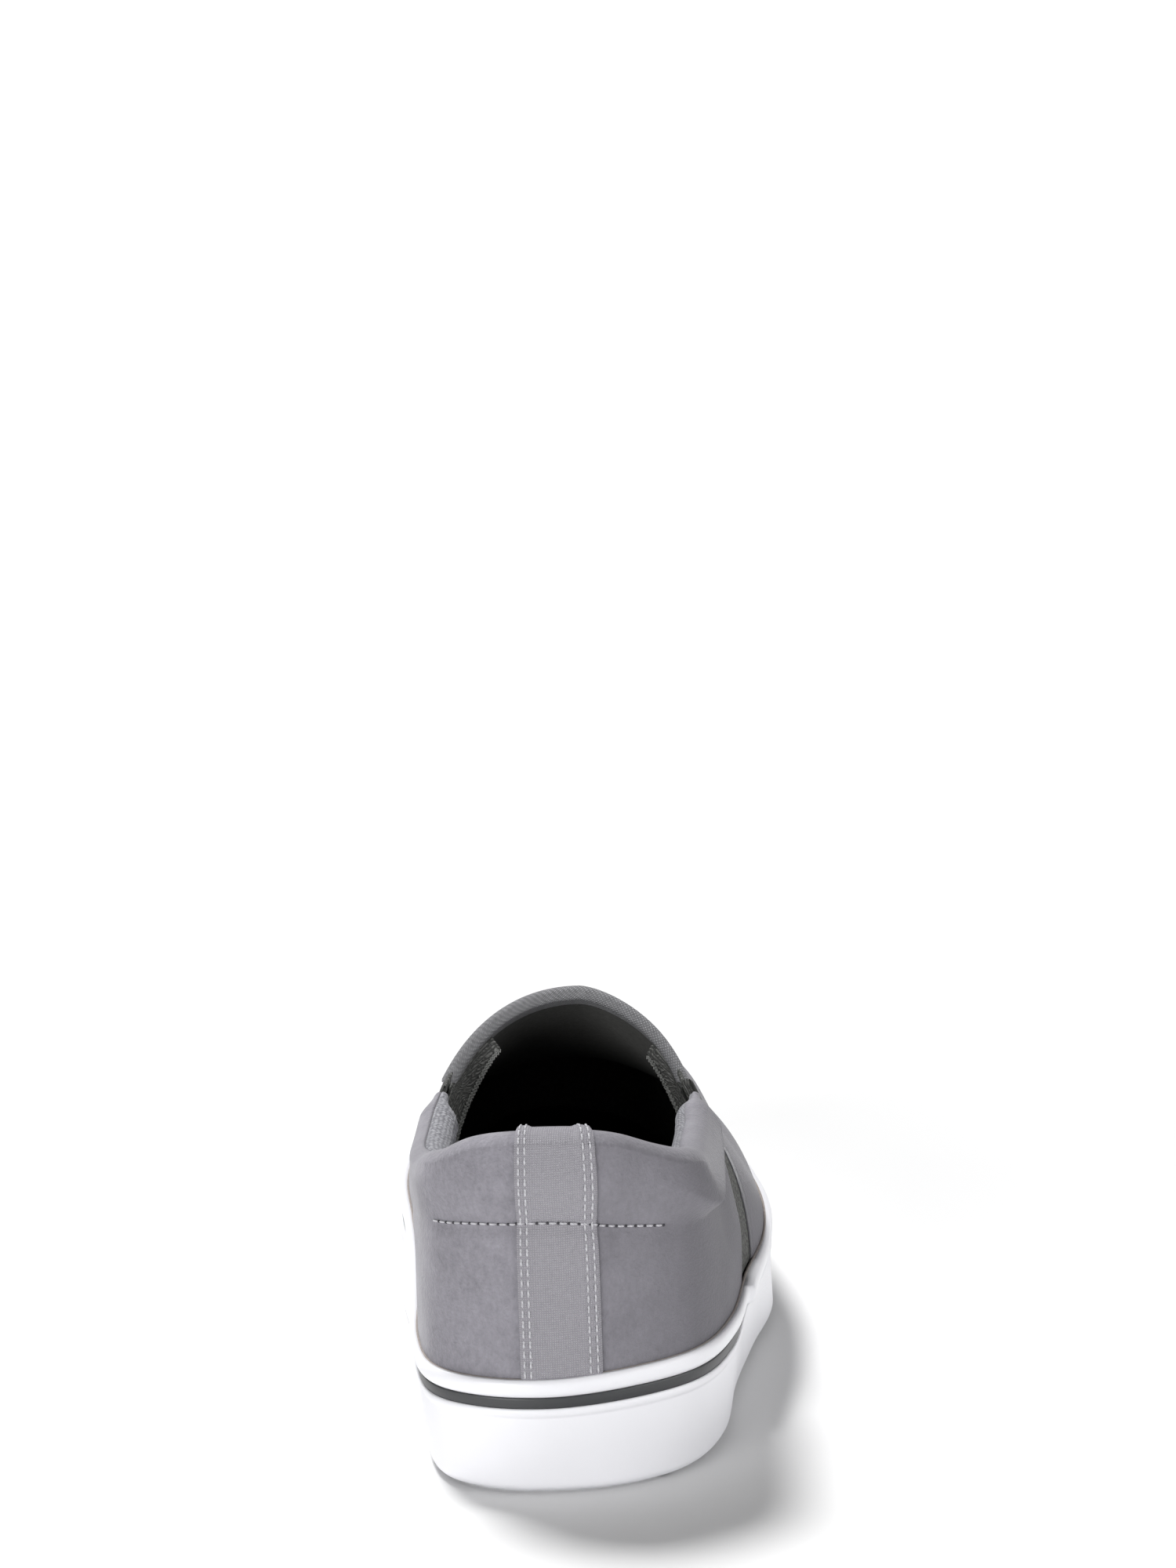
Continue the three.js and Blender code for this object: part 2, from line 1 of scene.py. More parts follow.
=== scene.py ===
"""Slip-on sneaker, right shoe, standing empty on its sole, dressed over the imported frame.

Blender works in metres and this file's shapes in millimetres: +X outer side, +Y towards the toe,
+Z up, origin on the heel's tread.
"""

import math

import bmesh
import bpy
import numpy as np
from mathutils import Matrix, Vector


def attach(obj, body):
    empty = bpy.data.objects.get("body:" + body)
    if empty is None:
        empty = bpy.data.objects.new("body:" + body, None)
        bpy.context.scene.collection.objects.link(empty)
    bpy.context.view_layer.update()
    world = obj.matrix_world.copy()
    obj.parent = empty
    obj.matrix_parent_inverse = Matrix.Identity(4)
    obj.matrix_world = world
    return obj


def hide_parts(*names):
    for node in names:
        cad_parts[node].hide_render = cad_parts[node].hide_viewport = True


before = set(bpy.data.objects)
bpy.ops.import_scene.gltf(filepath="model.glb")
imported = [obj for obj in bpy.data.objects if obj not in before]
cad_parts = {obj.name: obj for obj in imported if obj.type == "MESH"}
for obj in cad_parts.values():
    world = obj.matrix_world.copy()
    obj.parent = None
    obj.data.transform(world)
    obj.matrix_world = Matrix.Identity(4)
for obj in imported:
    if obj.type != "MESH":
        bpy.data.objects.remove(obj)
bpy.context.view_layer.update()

bl_info = {
    "name": "Slip-on sneaker",
    "version": (1, 0, 0),
    "blender": (4, 5, 0),
    "location": "View3D > Sidebar > Shoe",
    "description": "Builds the pieces of a slip-on sneaker over its frame",
    "category": "Object",
}

MM = 0.001

# Overall sizes in millimetres, as in the part's own source
LENGTH, BALL_WIDTH, HEEL_HEIGHT, INSTEP_HEIGHT, SOLE_HEIGHT = 292.0, 94.0, 89.0, 97.5, 29.5
REST_ALONG, TOE_SPRING = 32.0, 7.5
WALL, FIT_GAP, PAD_DEPTH, PAD_SWELL, PAD_BULGE, VAMP_ROLL = 2.2, 0.3, 5.6, 1.3, 2.0, 3.6
FOXING_WALL, FOXING_FLOOR_GAP, FOXING_ROUND, FOXING_TAPER = 2.6, 0.8, 2.4, 4.0
BEAD_PROUD, BEAD_HEIGHT = 0.5, 2.2
STRIPE_WALL, STRIPE_HEIGHT = 1.3, 2.3
STRIP_WALL, STRIP_HEIGHT, STRIP_CROWN, STRIP_LAP = 1.3, 4.4, 0.7, 1.6
OUTSOLE_THICKNESS, INSOLE_THICKNESS = 10.0, 4.4
GORE_WALL, GORE_RECESS = 1.2, 0.9
STRIPE_TOP = SOLE_HEIGHT - STRIP_HEIGHT - FIT_GAP
STRIPE_LOW = STRIPE_TOP - STRIPE_HEIGHT
SIDEWALL_TOP = STRIPE_LOW - FIT_GAP
UPPER_INSET = STRIP_WALL + FIT_GAP
MARGIN_INSET = FOXING_WALL + FIT_GAP
FLAT_END = 0.7        # share of the length where the toe spring starts

# Stations from heel to toe: shares of the sizes above, in the columns named here
COLUMNS = (
    "along lateral medial ridge lean crown fullness_lateral fullness_medial collar_lateral"
    " collar_medial seam_lateral seam_medial rise taper_lateral taper_medial"
).split()
STATIONS = np.array([
    (0.000, -0.074, -0.074, 0.144, -0.043, 1.149, 3.60, 3.60,
     0.955, 0.955, 0.757, 0.757, 0.000, 0.85, 0.85),
    (0.014, 0.139, -0.250, 0.146, -0.043, 1.149, 3.60, 3.60,
     0.933, 0.938, 0.733, 0.752, 0.034, 0.65, 0.80),
    (0.055, 0.326, -0.375, 0.151, -0.040, 1.149, 2.93, 3.40,
     0.848, 0.876, 0.700, 0.730, 0.068, 1.09, 0.75),
    (0.137, 0.419, -0.421, 0.178, -0.030, 1.159, 1.78, 3.20,
     0.801, 0.815, 0.688, 0.690, 0.081, 1.00, 0.70),
    (0.257, 0.468, -0.428, 0.264, 0.000, 1.159, 1.50, 2.60,
     0.784, 0.798, 0.715, 0.700, 0.081, 1.27, 0.60),
    (0.377, 0.525, -0.441, 0.373, 0.030, 1.021, 1.57, 2.16,
     0.860, 0.885, 0.840, 0.840, 0.061, 1.20, 0.25),
    (0.497, 0.537, -0.463, 0.490, 0.039, 0.830, 1.46, 2.06,
     0.860, 0.885, 0.840, 0.840, 0.027, -0.15, -0.35),
    (0.616, 0.506, -0.486, 0.608, 0.025, 0.680, 1.56, 1.92,
     0.860, 0.885, 0.840, 0.840, 0.000, -0.30, -0.60),
    (0.736, 0.442, -0.468, 0.722, -0.003, 0.578, 1.75, 1.85,
     0.860, 0.885, 0.840, 0.840, 0.000, -0.25, -0.60),
    (0.839, 0.381, -0.424, 0.810, -0.034, 0.530, 2.41, 1.90,
     0.860, 0.885, 0.840, 0.840, 0.000, 0.00, -0.30),
    (0.925, 0.288, -0.350, 0.856, -0.050, 0.522, 2.71, 2.35,
     0.860, 0.885, 0.840, 0.840, 0.000, 0.20, 0.20),
    (0.976, 0.139, -0.250, 0.872, -0.055, 0.513, 2.80, 2.80,
     0.860, 0.885, 0.840, 0.840, 0.000, 0.30, 0.30),
    (1.000, -0.064, -0.064, 0.878, -0.057, 0.508, 2.80, 2.80,
     0.860, 0.885, 0.840, 0.840, 0.000, 0.35, 0.35),
])
LAST = len(STATIONS) - 1
ROUND = 2 * LAST

# Places on the station scale
COLLAR_TIP, THROAT, PAD_FULL = 4.55, 5.15, 4.2
STRIP_JOINT, STRIP_JOINT_END = 3.7, 5.5
GORE_REAR_LOW, GORE_REAR_TOP, GORE_FRONT_LOW, GORE_FRONT_TOP = 3.75, 4.60, 4.38, 4.78
HEEL_STRIP_MEDIAL, HEEL_STRIP_LATERAL, HEEL_STRIP_WIDTH = -0.34, 0.69, 19.2
BULGE_START, BULGE_FULL = 1.4, 2.5
SEAM_MEDIAL, SEAM_LATERAL = -1.95, 1.65    # ends of the collar's row of stitches
GORE_ALLOWANCE, ALLOWANCE_TOP = 0.40, 0.64  # elastic turned over the vamp's lining

# Finish beyond the solids, in millimetres
STUFFING, LOBE, STITCH_DEPTH, STITCH_REACH = 0.6, 0.8, 0.85, 1.7
WALL_RUN = 80.0                             # the wall's height over its whole share, about
BINDING_OUT, BINDING_IN, BINDING_PROUD, BINDING_TAPE = 2.2, 4.5, 0.45, 0.5
ALLOWANCE_CURL, ELASTIC = 4.2, 1.0
STRIP_PROUD, STRIP_EDGE, STRIP_ROWS = 0.75, 0.45, (1.2, 2.8)
PLEAT, PLEAT_PITCH = 0.28, 0.085            # depth, and pitch on the station scale

# Section of the open wall: outer face up to 1, half-round edge up to 2, inner face up to 3
MARGIN = 0.2          # share of each face that is the hidden margin inside the sole
LINING_EDGE = 1.50    # where the outer fabric ends and the lining begins


# Form of the shoe

def spline(p0, p1, p2, p3, s):
    """Cubic from p1 to p2 whose slopes there are (p2 - p0) / 2 and (p3 - p1) / 2."""
    m1, m2 = (p2 - p0) / 2, (p3 - p1) / 2
    return ((2 * s**3 - 3 * s**2 + 1) * p1 + (s**3 - 2 * s**2 + s) * m1
            + (3 * s**2 - 2 * s**3) * p2 + (s**3 - s**2) * m2)


def smooth(x, low, high):
    """0 below low, 1 above high, and 3 s^2 - 2 s^3 of the share s between them."""
    s = np.clip((x - low) / (high - low), 0, 1)
    return s * s * (3 - 2 * s)


def station(u):
    """The place u once round the shoe folded onto the station scale, and whether it is lateral."""
    turned = np.mod(u, ROUND)
    return np.where(turned <= LAST, turned, ROUND - turned), turned <= LAST


def column(name, t):
    """A column's smooth value at station t, mirrored at both ends of the table."""
    values = STATIONS[:, COLUMNS.index(name)]
    padded = np.concatenate([values[1:2], values, values[-2:-4:-1]])
    i = np.clip(np.floor(t).astype(int), 0, LAST - 1)
    return spline(padded[i], padded[i + 1], padded[i + 2], padded[i + 3], t - i)


def sided(name, u):
    t, lateral = station(u)
    return np.where(lateral, column(name + "_lateral", t), column(name + "_medial", t))


def edge(u):
    """Foxing's top edge in plan: a closed spline through the lateral and the medial column."""
    along, lateral, medial = STATIONS[:, 0], STATIONS[:, 1], STATIONS[:, 2]
    x = np.concatenate([lateral, medial[-2:0:-1]]) * BALL_WIDTH
    y = np.concatenate([along, along[-2:0:-1]]) * LENGTH
    turned = np.mod(u, ROUND)
    i = np.floor(turned).astype(int)
    ring = [(i + k) % ROUND for k in (-1, 0, 1, 2)]
    s = turned - i
    return spline(*[x[k] for k in ring], s), spline(*[y[k] for k in ring], s)


def inset_edge(u, inset):
    """The plan curve moved inwards by a distance, square to itself."""
    step = 0.001
    (x1, y1), (x2, y2), (x, y) = edge(u - step), edge(u + step), edge(u)
    dx, dy = x2 - x1, y2 - y1
    size = np.hypot(dx, dy)
    return x - dy / size * inset, y + dx / size * inset


def toe_lift(y):
    return TOE_SPRING * (np.maximum(0, y / LENGTH - FLAT_END) / (1 - FLAT_END)) ** 2


def foxing_scale(u):
    t, lateral = station(u)
    return 1 + np.where(lateral, column("rise", t), 0)


def side_point(u, height, inset):
    """Point of the sole's side at a height above the floor, inset from its tapered face."""
    taper = FOXING_TAPER * sided("taper", u) * (1 - height / SOLE_HEIGHT)
    x, y = inset_edge(u, taper + inset)
    return np.stack([x, y - REST_ALONG, height * foxing_scale(u) + toe_lift(y)], -1)


def form_point(u, v, inset):
    """Point of the upper's form: a quarter of a superellipse from the foxing (v = 0) to the ridge."""
    t, _ = station(u)
    x, y = inset_edge(u, UPPER_INSET + inset)
    power = 2 / sided("fullness", u)
    inwards = 1 - np.cos(np.clip(v, 0, 1) * np.pi / 2) ** power
    upwards = np.sin(np.clip(v, 0, 1) * np.pi / 2) ** power
    foot = SOLE_HEIGHT * foxing_scale(u) + toe_lift(y)
    crown = column("crown", t) * INSTEP_HEIGHT - inset
    return np.stack([
        x + (column("lean", t) * BALL_WIDTH - x) * inwards,
        y + (column("ridge", t) * LENGTH - y) * inwards - REST_ALONG,
        foot + (crown - foot) * upwards,
    ], -1)


def share_at(u, height):
    """Share v at which the wall reaches a height."""
    t, _ = station(u)
    foot = SOLE_HEIGHT * foxing_scale(u)
    share = np.clip((height - foot) / (column("crown", t) * INSTEP_HEIGHT - foot), 0, 1)
    return 2 / np.pi * np.arcsin(share ** (sided("fullness", u) / 2))


def top_share(u):
    """Upper edge of the wall: collar, then a quarter ellipse round the throat, then the ridge."""
    t, lateral = station(u)
    tip = np.where(lateral, COLLAR_TIP, ROUND - COLLAR_TIP)
    round_throat = np.clip((t - COLLAR_TIP) / (THROAT - COLLAR_TIP), 0, 1)
    across = np.sqrt(1 - round_throat**2)
    throat = 1 - (1 - share_at(tip, sided("collar", tip) * HEEL_HEIGHT)) * across
    return np.where(t <= COLLAR_TIP, share_at(u, sided("collar", u) * HEEL_HEIGHT), throat)


def seam_share(u):
    """Lower edge of the collar pad."""
    t, _ = station(u)
    low = np.minimum(share_at(u, sided("seam", u) * HEEL_HEIGHT), 0.93 * top_share(u))
    return np.where(t < COLLAR_TIP, low, 0.93 * top_share(u))


def pad_share(u):
    return 1 - smooth(station(u)[0], PAD_FULL, COLLAR_TIP)


def face_point(u, r, inset):
    """Face of the upper: r from -1 (foot of the hidden margin) over 0 (foxing's edge) to 1 (top)."""
    sunk = np.clip(2 * r + 2, 0, 1)
    low = side_point(u, OUTSOLE_THICKNESS + 1 + (STRIPE_LOW - OUTSOLE_THICKNESS - 1) * sunk,
                     MARGIN_INSET + inset)
    foot = form_point(u, 0 * r, inset)
    rise = np.clip(2 * r + 1, 0, 1)[..., None]
    return np.where((r < 0)[..., None], low + (foot - low) * rise,
                    form_point(u, np.maximum(r, 0) * top_share(u), inset))


def trough(points, ends, width):
    """1 along the line between two points, falling off as exp(-(distance / width)^2)."""
    a, b = ends
    along = np.clip(((points - a) @ (b - a)) / ((b - a) @ (b - a)), 0, 1)
    gap = points - a - along[..., None] * (b - a)
    return np.exp(-(gap**2).sum(-1) / width**2)


# Soft troughs (positive) and ridges (negative) of the outer fabric: place round the shoe and share
# of the wall's height at both ends, then width and depth in millimetres
CREASES = [
    (2.30, 0.55, 3.10, 0.78, 5.0, 0.9),
    (2.60, 0.30, 3.60, 0.66, 7.0, 0.7),
    (3.40, 0.20, 4.50, 0.42, 8.0, 0.6),
    (-1.60, 0.20, -1.90, 0.62, 6.0, 0.5),
    (-2.60, 0.30, -3.20, 0.60, 7.0, 0.6),
    (1.20, 0.15, 1.50, 0.60, 5.0, 0.5),
    (0.95, 0.10, 1.05, 0.66, 2.5, 0.35),
    (-0.60, 0.10, -0.62, 0.66, 2.5, 0.35),
    (3.00, 0.10, 4.40, 0.16, 6.0, -0.5),
    (-3.00, 0.12, -4.40, 0.18, 6.0, -0.5),
    (1.75, 0.36, 2.30, 0.50, 5.0, 1.3),
    (2.30, 0.50, 3.10, 0.62, 5.0, 1.3),
    (0.90, 0.44, 1.60, 0.36, 5.0, 0.6),
    (-0.60, 0.50, -1.70, 0.48, 5.0, 0.5),
]
INSTEP_HOLLOW = (4.85, 0.43, 6.20, 0.38, 15.0, 3.2)


def crease_depth(points, crease):
    """Depth at points of one soft trough between two places of the form."""
    u0, v0, u1, v1, width, depth = crease
    ends = [form_point(np.array(a), np.array(b), 0.0) for a, b in ((u0, v0), (u1, v1))]
    return depth * trough(points, ends, width)


def hollow_depth(u, v):
    """Inset of the soft hollow in the lateral side of the instep, over gore and vamp."""
    return crease_depth(form_point(u, v, 0.0), INSTEP_HOLLOW)


def outer_relief(u, r):
    """How far the outer fabric stands out: the collar's foam, its stitched trough and creases."""
    top, seam = top_share(u), seam_share(u)
    t, lateral = station(u)
    pad = pad_share(u)
    share = (np.maximum(r, 0) * top - seam) / np.maximum(top - seam, 1e-6)
    height = np.maximum(top - seam, 0.02) * WALL_RUN
    bulge = np.where(lateral, smooth(t, BULGE_START, BULGE_FULL), 0)
    puff = smooth(share * height, -0.4, 7.0 - 6.0 * bulge)
    bulge = (PAD_BULGE + LOBE) * bulge * (1 - 0.5 * np.clip(share, 0, 1) ** 2)
    pinch = np.exp(-(share * height / STITCH_REACH) ** 2) * (1 - smooth(t, 1.5, 2.2))
    swell = (PAD_SWELL + STUFFING + bulge) * pad * puff - STITCH_DEPTH * pinch
    points = form_point(u, np.maximum(r, 0) * top, 0.0)
    for crease in CREASES:
        swell = swell - crease_depth(points, crease) * (r > 0)
    return swell


def lining_edge(u):
    """Section place where the lining begins: further out on the medial front of the collar."""
    t, lateral = station(u)
    return LINING_EDGE - np.where(lateral, 0, 0.2 * smooth(t, 1.8, 3.2))


def lining_depth(u, r):
    """Inset of the inner face: the wall, the collar's foam and the roll of a bound edge."""
    top, seam = top_share(u), seam_share(u)
    share = (np.maximum(r, 0) * top - seam) / np.maximum(top - seam, 1e-6)
    pad = pad_share(u) * smooth(share, -0.15, 0.4)
    roll = (VAMP_ROLL - WALL) * (1 - pad_share(u)) * smooth(r, 0.8, 1.0)
    return WALL + PAD_DEPTH * pad + roll


def wall_rows(q):
    """Section place q as the row r of the face that it lies on."""
    near = np.where(q <= 1, q, np.where(q >= 2, 3 - q, 1))
    return np.where(near < MARGIN, near / MARGIN - 1, (near - MARGIN) / (1 - MARGIN))


def wall_point(u, q, depth):
    """Point of the open wall's section: outer face, half circle over the edge, inner face.

    The half circle stands on the line from the outer to the inner top, square to the collar's run.
    """
    r = wall_rows(q)
    outer = face_point(u, r, depth - outer_relief(u, r))
    inner = face_point(u, r, lining_depth(u, r) - depth)
    one = np.ones_like(r)

    def middle(place):
        a = face_point(place, one, -outer_relief(place, one))
        b = face_point(place, one, lining_depth(place, one))
        return (a + b) / 2, (a - b) / 2

    centre, half = middle(u)
    run = middle(u + 0.01)[0] - middle(u - 0.01)[0]
    crest = np.cross(half, run)
    crest *= np.sign(crest[..., 2:])
    size = np.linalg.norm(half, axis=-1, keepdims=True)
    crest *= size / np.linalg.norm(crest, axis=-1, keepdims=True)
    angle = np.clip(q - 1, 0, 1)[..., None] * np.pi
    shrink = 1 - np.broadcast_to(depth, r.shape)[..., None] / size
    rim = centre + (half * np.cos(angle) + crest * np.sin(angle)) * shrink
    return np.where((q < 1)[..., None], outer, np.where((q > 2)[..., None], inner, rim))


# Meshes from whole arrays

def lengths(points, axis):
    """Running length along an axis of a grid of points."""
    steps = np.linalg.norm(np.diff(points, axis=axis), axis=-1)
    start = np.zeros_like(np.take(steps, [0], axis=axis))
    return np.cumsum(np.concatenate([start, steps], axis=axis), axis=axis)


def make_piece(name, vertices, faces, material, uv=None, weld=False):
    """Closed mesh from vertices in millimetres, turned so that its faces look outwards."""
    if isinstance(faces, np.ndarray):
        a, b, c, d = (vertices[faces[:, k]] for k in range(4))
        volume = (np.einsum("ij,ij->i", a, np.cross(b, c))
                  + np.einsum("ij,ij->i", a, np.cross(c, d))).sum()
        faces = faces[:, ::-1] if volume < 0 else faces
    mesh = bpy.data.meshes.new(name)
    mesh.vertices.add(len(vertices))
    mesh.vertices.foreach_set("co", (vertices * MM).astype(np.float32).ravel())
    mesh.loops.add(faces.size)
    mesh.loops.foreach_set("vertex_index", faces.astype(np.int32).ravel())
    mesh.polygons.add(len(faces))
    mesh.polygons.foreach_set("loop_start", np.arange(0, faces.size, 4, dtype=np.int32))
    mesh.polygons.foreach_set("use_smooth", np.ones(len(faces), bool))
    if uv is not None:
        layer = mesh.uv_layers.new(name="run")
        layer.data.foreach_set("uv", (uv[faces.ravel()] * MM).astype(np.float32).ravel())
    mesh.update(calc_edges=True)
    if weld:
        shell = bmesh.new()
        shell.from_mesh(mesh)
        bmesh.ops.remove_doubles(shell, verts=shell.verts, dist=2e-6)
        shell.to_mesh(mesh)
        shell.free()
    mesh.validate()
    mesh.materials.append(material)
    piece = bpy.data.objects.new(name, mesh)
    bpy.context.scene.collection.objects.link(piece)
    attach(piece, "root")
    return piece


def grid_faces(stations, ring, closed):
    """Quads between neighbouring rings of a tube, the last joined to the first where closed."""
    i = np.arange(stations if closed else stations - 1)[:, None]
    j = np.arange(ring)[None, :]
    a, b = i * ring, (i + 1) % stations * ring
    return np.stack([a + j, b + j, b + (j + 1) % ring, a + (j + 1) % ring], -1).reshape(-1, 4)


def end_faces(start, ring):
    """Quads across the end ring of a slab, from its outer to its inner rows."""
    j = np.arange(ring // 2 - 1)
    return np.stack([start + j, start + j + 1, start + ring - 2 - j, start + ring - 1 - j], -1)


def slab(name, outer, inner, material, radius=0.6, closed=False, fold=False):
    """Sheet of cloth between two grids. Near its free edges both faces draw together on a circle:
    the half thickness is multiplied by sqrt(1 - (1 - distance / radius)^2)."""
    middle = (outer + inner) / 2
    along, up = lengths(middle, 0), lengths(middle, 1)
    gaps = [up, up[:, -1:] - up]
    if not closed:
        gaps.append(along)
        if not fold:
            gaps.append(along[-1:] - along)
    near = np.clip(np.minimum.reduce(gaps) / radius, 0.03, 1)
    ease = np.sqrt(1 - (1 - near) ** 2)[..., None]
    outer, inner = middle + (outer - middle) * ease, middle + (inner - middle) * ease
    rings = np.concatenate([outer, inner[:, ::-1]], 1)
    uv = np.stack([along, up], -1)
    uv = np.concatenate([uv, uv[:, ::-1]], 1)
    count, ring = rings.shape[:2]
    faces = [grid_faces(count, ring, closed)]
    if not closed:
        faces.append(end_faces(0, ring)[:, ::-1])
        if not fold:
            faces.append(end_faces((count - 1) * ring, ring))
    return make_piece(name, rings.reshape(-1, 3), np.concatenate(faces), material,
                      uv.reshape(-1, 2), weld=fold)


def ring_piece(name, profile, material, stations=720):
    """Ring round the shoe: a closed profile of heights and insets at each place."""
    u = np.arange(stations)[:, None] * ROUND / stations
    height, inset = profile(u)
    rings = side_point(u + 0 * height, height + 0 * u, inset + 0 * height)
    faces = grid_faces(stations, rings.shape[1], True)
    return make_piece(name, rings.reshape(-1, 3), faces, material)


def stitches(name, rows, material, pitch, length, radius, lift):
    """Rows of thread: each stitch is a bead of 6 sides whose half width is
    radius * sqrt(1 - (2 s - 1)^4) at the share s of its length, laid along the row's curve."""
    sides, rings = 6, 6
    s = np.linspace(0, 1, rings)
    turn = np.arange(sides) * 2 * np.pi / sides
    girth = radius * np.sqrt(np.clip(1 - (2 * s - 1) ** 4, 0.02, 1))
    vertices, faces, total = [], [], 0
    for points, outward in rows:
        run = lengths(points, 0)
        count = int(run[-1] / pitch)
        place = (np.arange(count)[:, None] + 0.5) * pitch + (s - 0.5) * length
        at = np.stack([np.interp(place, run, points[:, k]) for k in range(3)], -1)
        up = np.stack([np.interp(place, run, outward[:, k]) for k in range(3)], -1)
        along = np.gradient(at, axis=1)
        across = np.cross(along, up)
        across /= np.linalg.norm(across, axis=-1, keepdims=True)
        bow = lift * (1 - (2 * s - 1) ** 2)[None, :, None]
        body = (at + up * bow)[:, :, None, :] + girth[None, :, None, None] * (
            np.cos(turn)[:, None] * across[:, :, None, :] + np.sin(turn)[:, None] * up[:, :, None, :])
        one = grid_faces(rings, sides, False)
        caps = np.array([[0, 1, 2, 3], [0, 3, 4, 5]])
        one = np.concatenate([one, caps[:, ::-1], caps + (rings - 1) * sides])
        offset = total + np.arange(count)[:, None, None] * rings * sides
        vertices.append(body.reshape(-1, 3))
        faces.append((one[None] + offset).reshape(-1, 4))
        total += count * rings * sides
    return make_piece(name, np.concatenate(vertices), np.concatenate(faces), material)


def outer_row(u, q, lift):
    """Curve on the outer face and its outward normals, for a row of stitches."""
    points = wall_point(u, q, -lift)
    by_u = wall_point(u + 0.01, q, -lift) - wall_point(u - 0.01, q, -lift)
    by_q = wall_point(u, q + 0.003, -lift) - wall_point(u, q - 0.003, -lift)
    normal = np.cross(by_u, by_q)
    normal /= np.linalg.norm(normal, axis=-1, keepdims=True)
    away = points - np.array([0.0, 60.0, 40.0])
    return points, normal * np.sign((normal * away).sum(-1, keepdims=True))


def face_place(r):
    """Section place q of the outer face's row r."""
    return MARGIN + (1 - MARGIN) * r


# Materials

def linear(value):
    """An sRGB hex colour as linear red, green, blue and 1."""
    parts = [(value >> shift & 255) / 255 for shift in (16, 8, 0)]
    return [p / 12.92 if p <= 0.04045 else ((p + 0.055) / 1.055) ** 2.4 for p in parts] + [1.0]


def add(tree, kind, links=None, **settings):
    """Adds a node with its settings; links gives each input a socket or a value."""
    made = tree.nodes.new(kind)
    for name, value in settings.items():
        setattr(made, name, value)
    for name, value in (links or {}).items():
        if isinstance(value, bpy.types.NodeSocket):
            tree.links.new(value, made.inputs[name])
        else:
            made.inputs[name].default_value = value
    return made


def start_material(name, roughness, **values):
    """Material with only its shader, whose constant values are set on its own sockets."""
    material = bpy.data.materials.new(name)
    material.use_nodes = True
    tree = material.node_tree
    tree.nodes.clear()
    shader = add(tree, "ShaderNodeBsdfPrincipled", {"Roughness": roughness, **values})
    add(tree, "ShaderNodeOutputMaterial", {"Surface": shader.outputs[0]})
    return material, tree, shader


def object_place(tree, stretch=(1, 1, 1)):
    place = add(tree, "ShaderNodeTexCoord").outputs["Object"]
    return add(tree, "ShaderNodeMapping", {"Vector": place, "Scale": stretch}).outputs[0]


def run_place(tree, turn=0.0):
    place = add(tree, "ShaderNodeUVMap", uv_map="run").outputs[0]
    return add(tree, "ShaderNodeMapping", {"Vector": place, "Rotation": (0, 0, turn)}).outputs[0]


def mixed(tree, share, first, second):
    """Colour between two colours by a share."""
    node = add(tree, "ShaderNodeMix", data_type="RGBA")
    for index, value in ((0, share), (6, first), (7, second)):
        if isinstance(value, bpy.types.NodeSocket):
            tree.links.new(value, node.inputs[index])
        else:
            node.inputs[index].default_value = value
    return node.outputs[2]


def shade(colour, factor=1.0):
    """A colour made darker or lighter by a factor."""
    return [c * factor for c in colour[:3]] + [1]


def noise(tree, place, size, detail=2.0, **values):
    """Cloudy noise with lumps of about a size in metres."""
    return add(tree, "ShaderNodeTexNoise", {
        "Vector": place, "Scale": 1 / size, "Detail": detail, **values}).outputs["Fac"]


def bands(tree, place, width, direction, **values):
    """Waves of a width in metres: at scale 1 a wave texture's band is 0.314 units wide."""
    return add(tree, "ShaderNodeTexWave", {"Vector": place, "Scale": 0.314 / width, **values},
               bands_direction=direction).outputs["Fac"]


def ranged(tree, value, low, high, first=0.0, last=1.0):
    """A value's range from low to high turned into first to last."""
    return add(tree, "ShaderNodeMapRange", {
        "Value": value, "From Min": low, "From Max": high, "To Min": first,
        "To Max": last}).outputs[0]


def computed(tree, operation, *values):
    return add(tree, "ShaderNodeMath", dict(enumerate(values)), operation=operation).outputs[0]


def cover(tree, shader, colour, height=None, depth=0.0, strength=1.0):
    """Gives the shader a colour and, from a height, bumps of a depth in metres."""
    tree.links.new(colour, shader.inputs["Base Color"])
    if height is not None:
        bump = add(tree, "ShaderNodeBump", {
            "Height": height, "Distance": depth, "Strength": strength})
        tree.links.new(bump.outputs[0], shader.inputs["Normal"])


def brushed_fabric():
    """Brushed microfibre: short nap that scatters light, mottled where the nap lies both ways, with
    painted shade where it faces the outer side.
    """
    look = bpy.context.scene.shoe_looks
    material, tree, shader = start_material(
        "brushed_microfibre", 0.92, **{"Sheen Weight": 0.25, "Sheen Roughness": 0.45,
                                       "Specular IOR Level": 0.25})
    place = object_place(tree)
    patches = noise(tree, place, 0.012, 5.0, Roughness=0.65)
    streaks = noise(tree, object_place(tree, (1, 1, 0.7)), 0.0013, 4.0, Roughness=0.7)
    nap = noise(tree, place, 0.0007)
    dark, light = shade(look.fabric, 0.74), shade(look.fabric, 1.26)
    first, second = (mixed(tree, ranged(tree, value, 0.3, 0.7), dark, light)
                     for value in (patches, streaks))
    colour = mixed(tree, 0.5, first, second)
    # Painted shade: where the normal faces +X, the outer side, the colour is drawn towards 0.56 of the
    # fabric's
    facing = add(tree, "ShaderNodeNewGeometry").outputs["Normal"]
    outwards = add(tree, "ShaderNodeSeparateXYZ", {"Vector": facing}).outputs["X"]
    painted_outer_side_shade = ranged(tree, outwards, -0.1, 0.8, 0.0, 0.85)
    colour = mixed(tree, painted_outer_side_shade, colour, shade(look.fabric, 0.56))
    cover(tree, shader, colour, computed(tree, "ADD", nap, streaks), look.nap, 0.9)
    return material


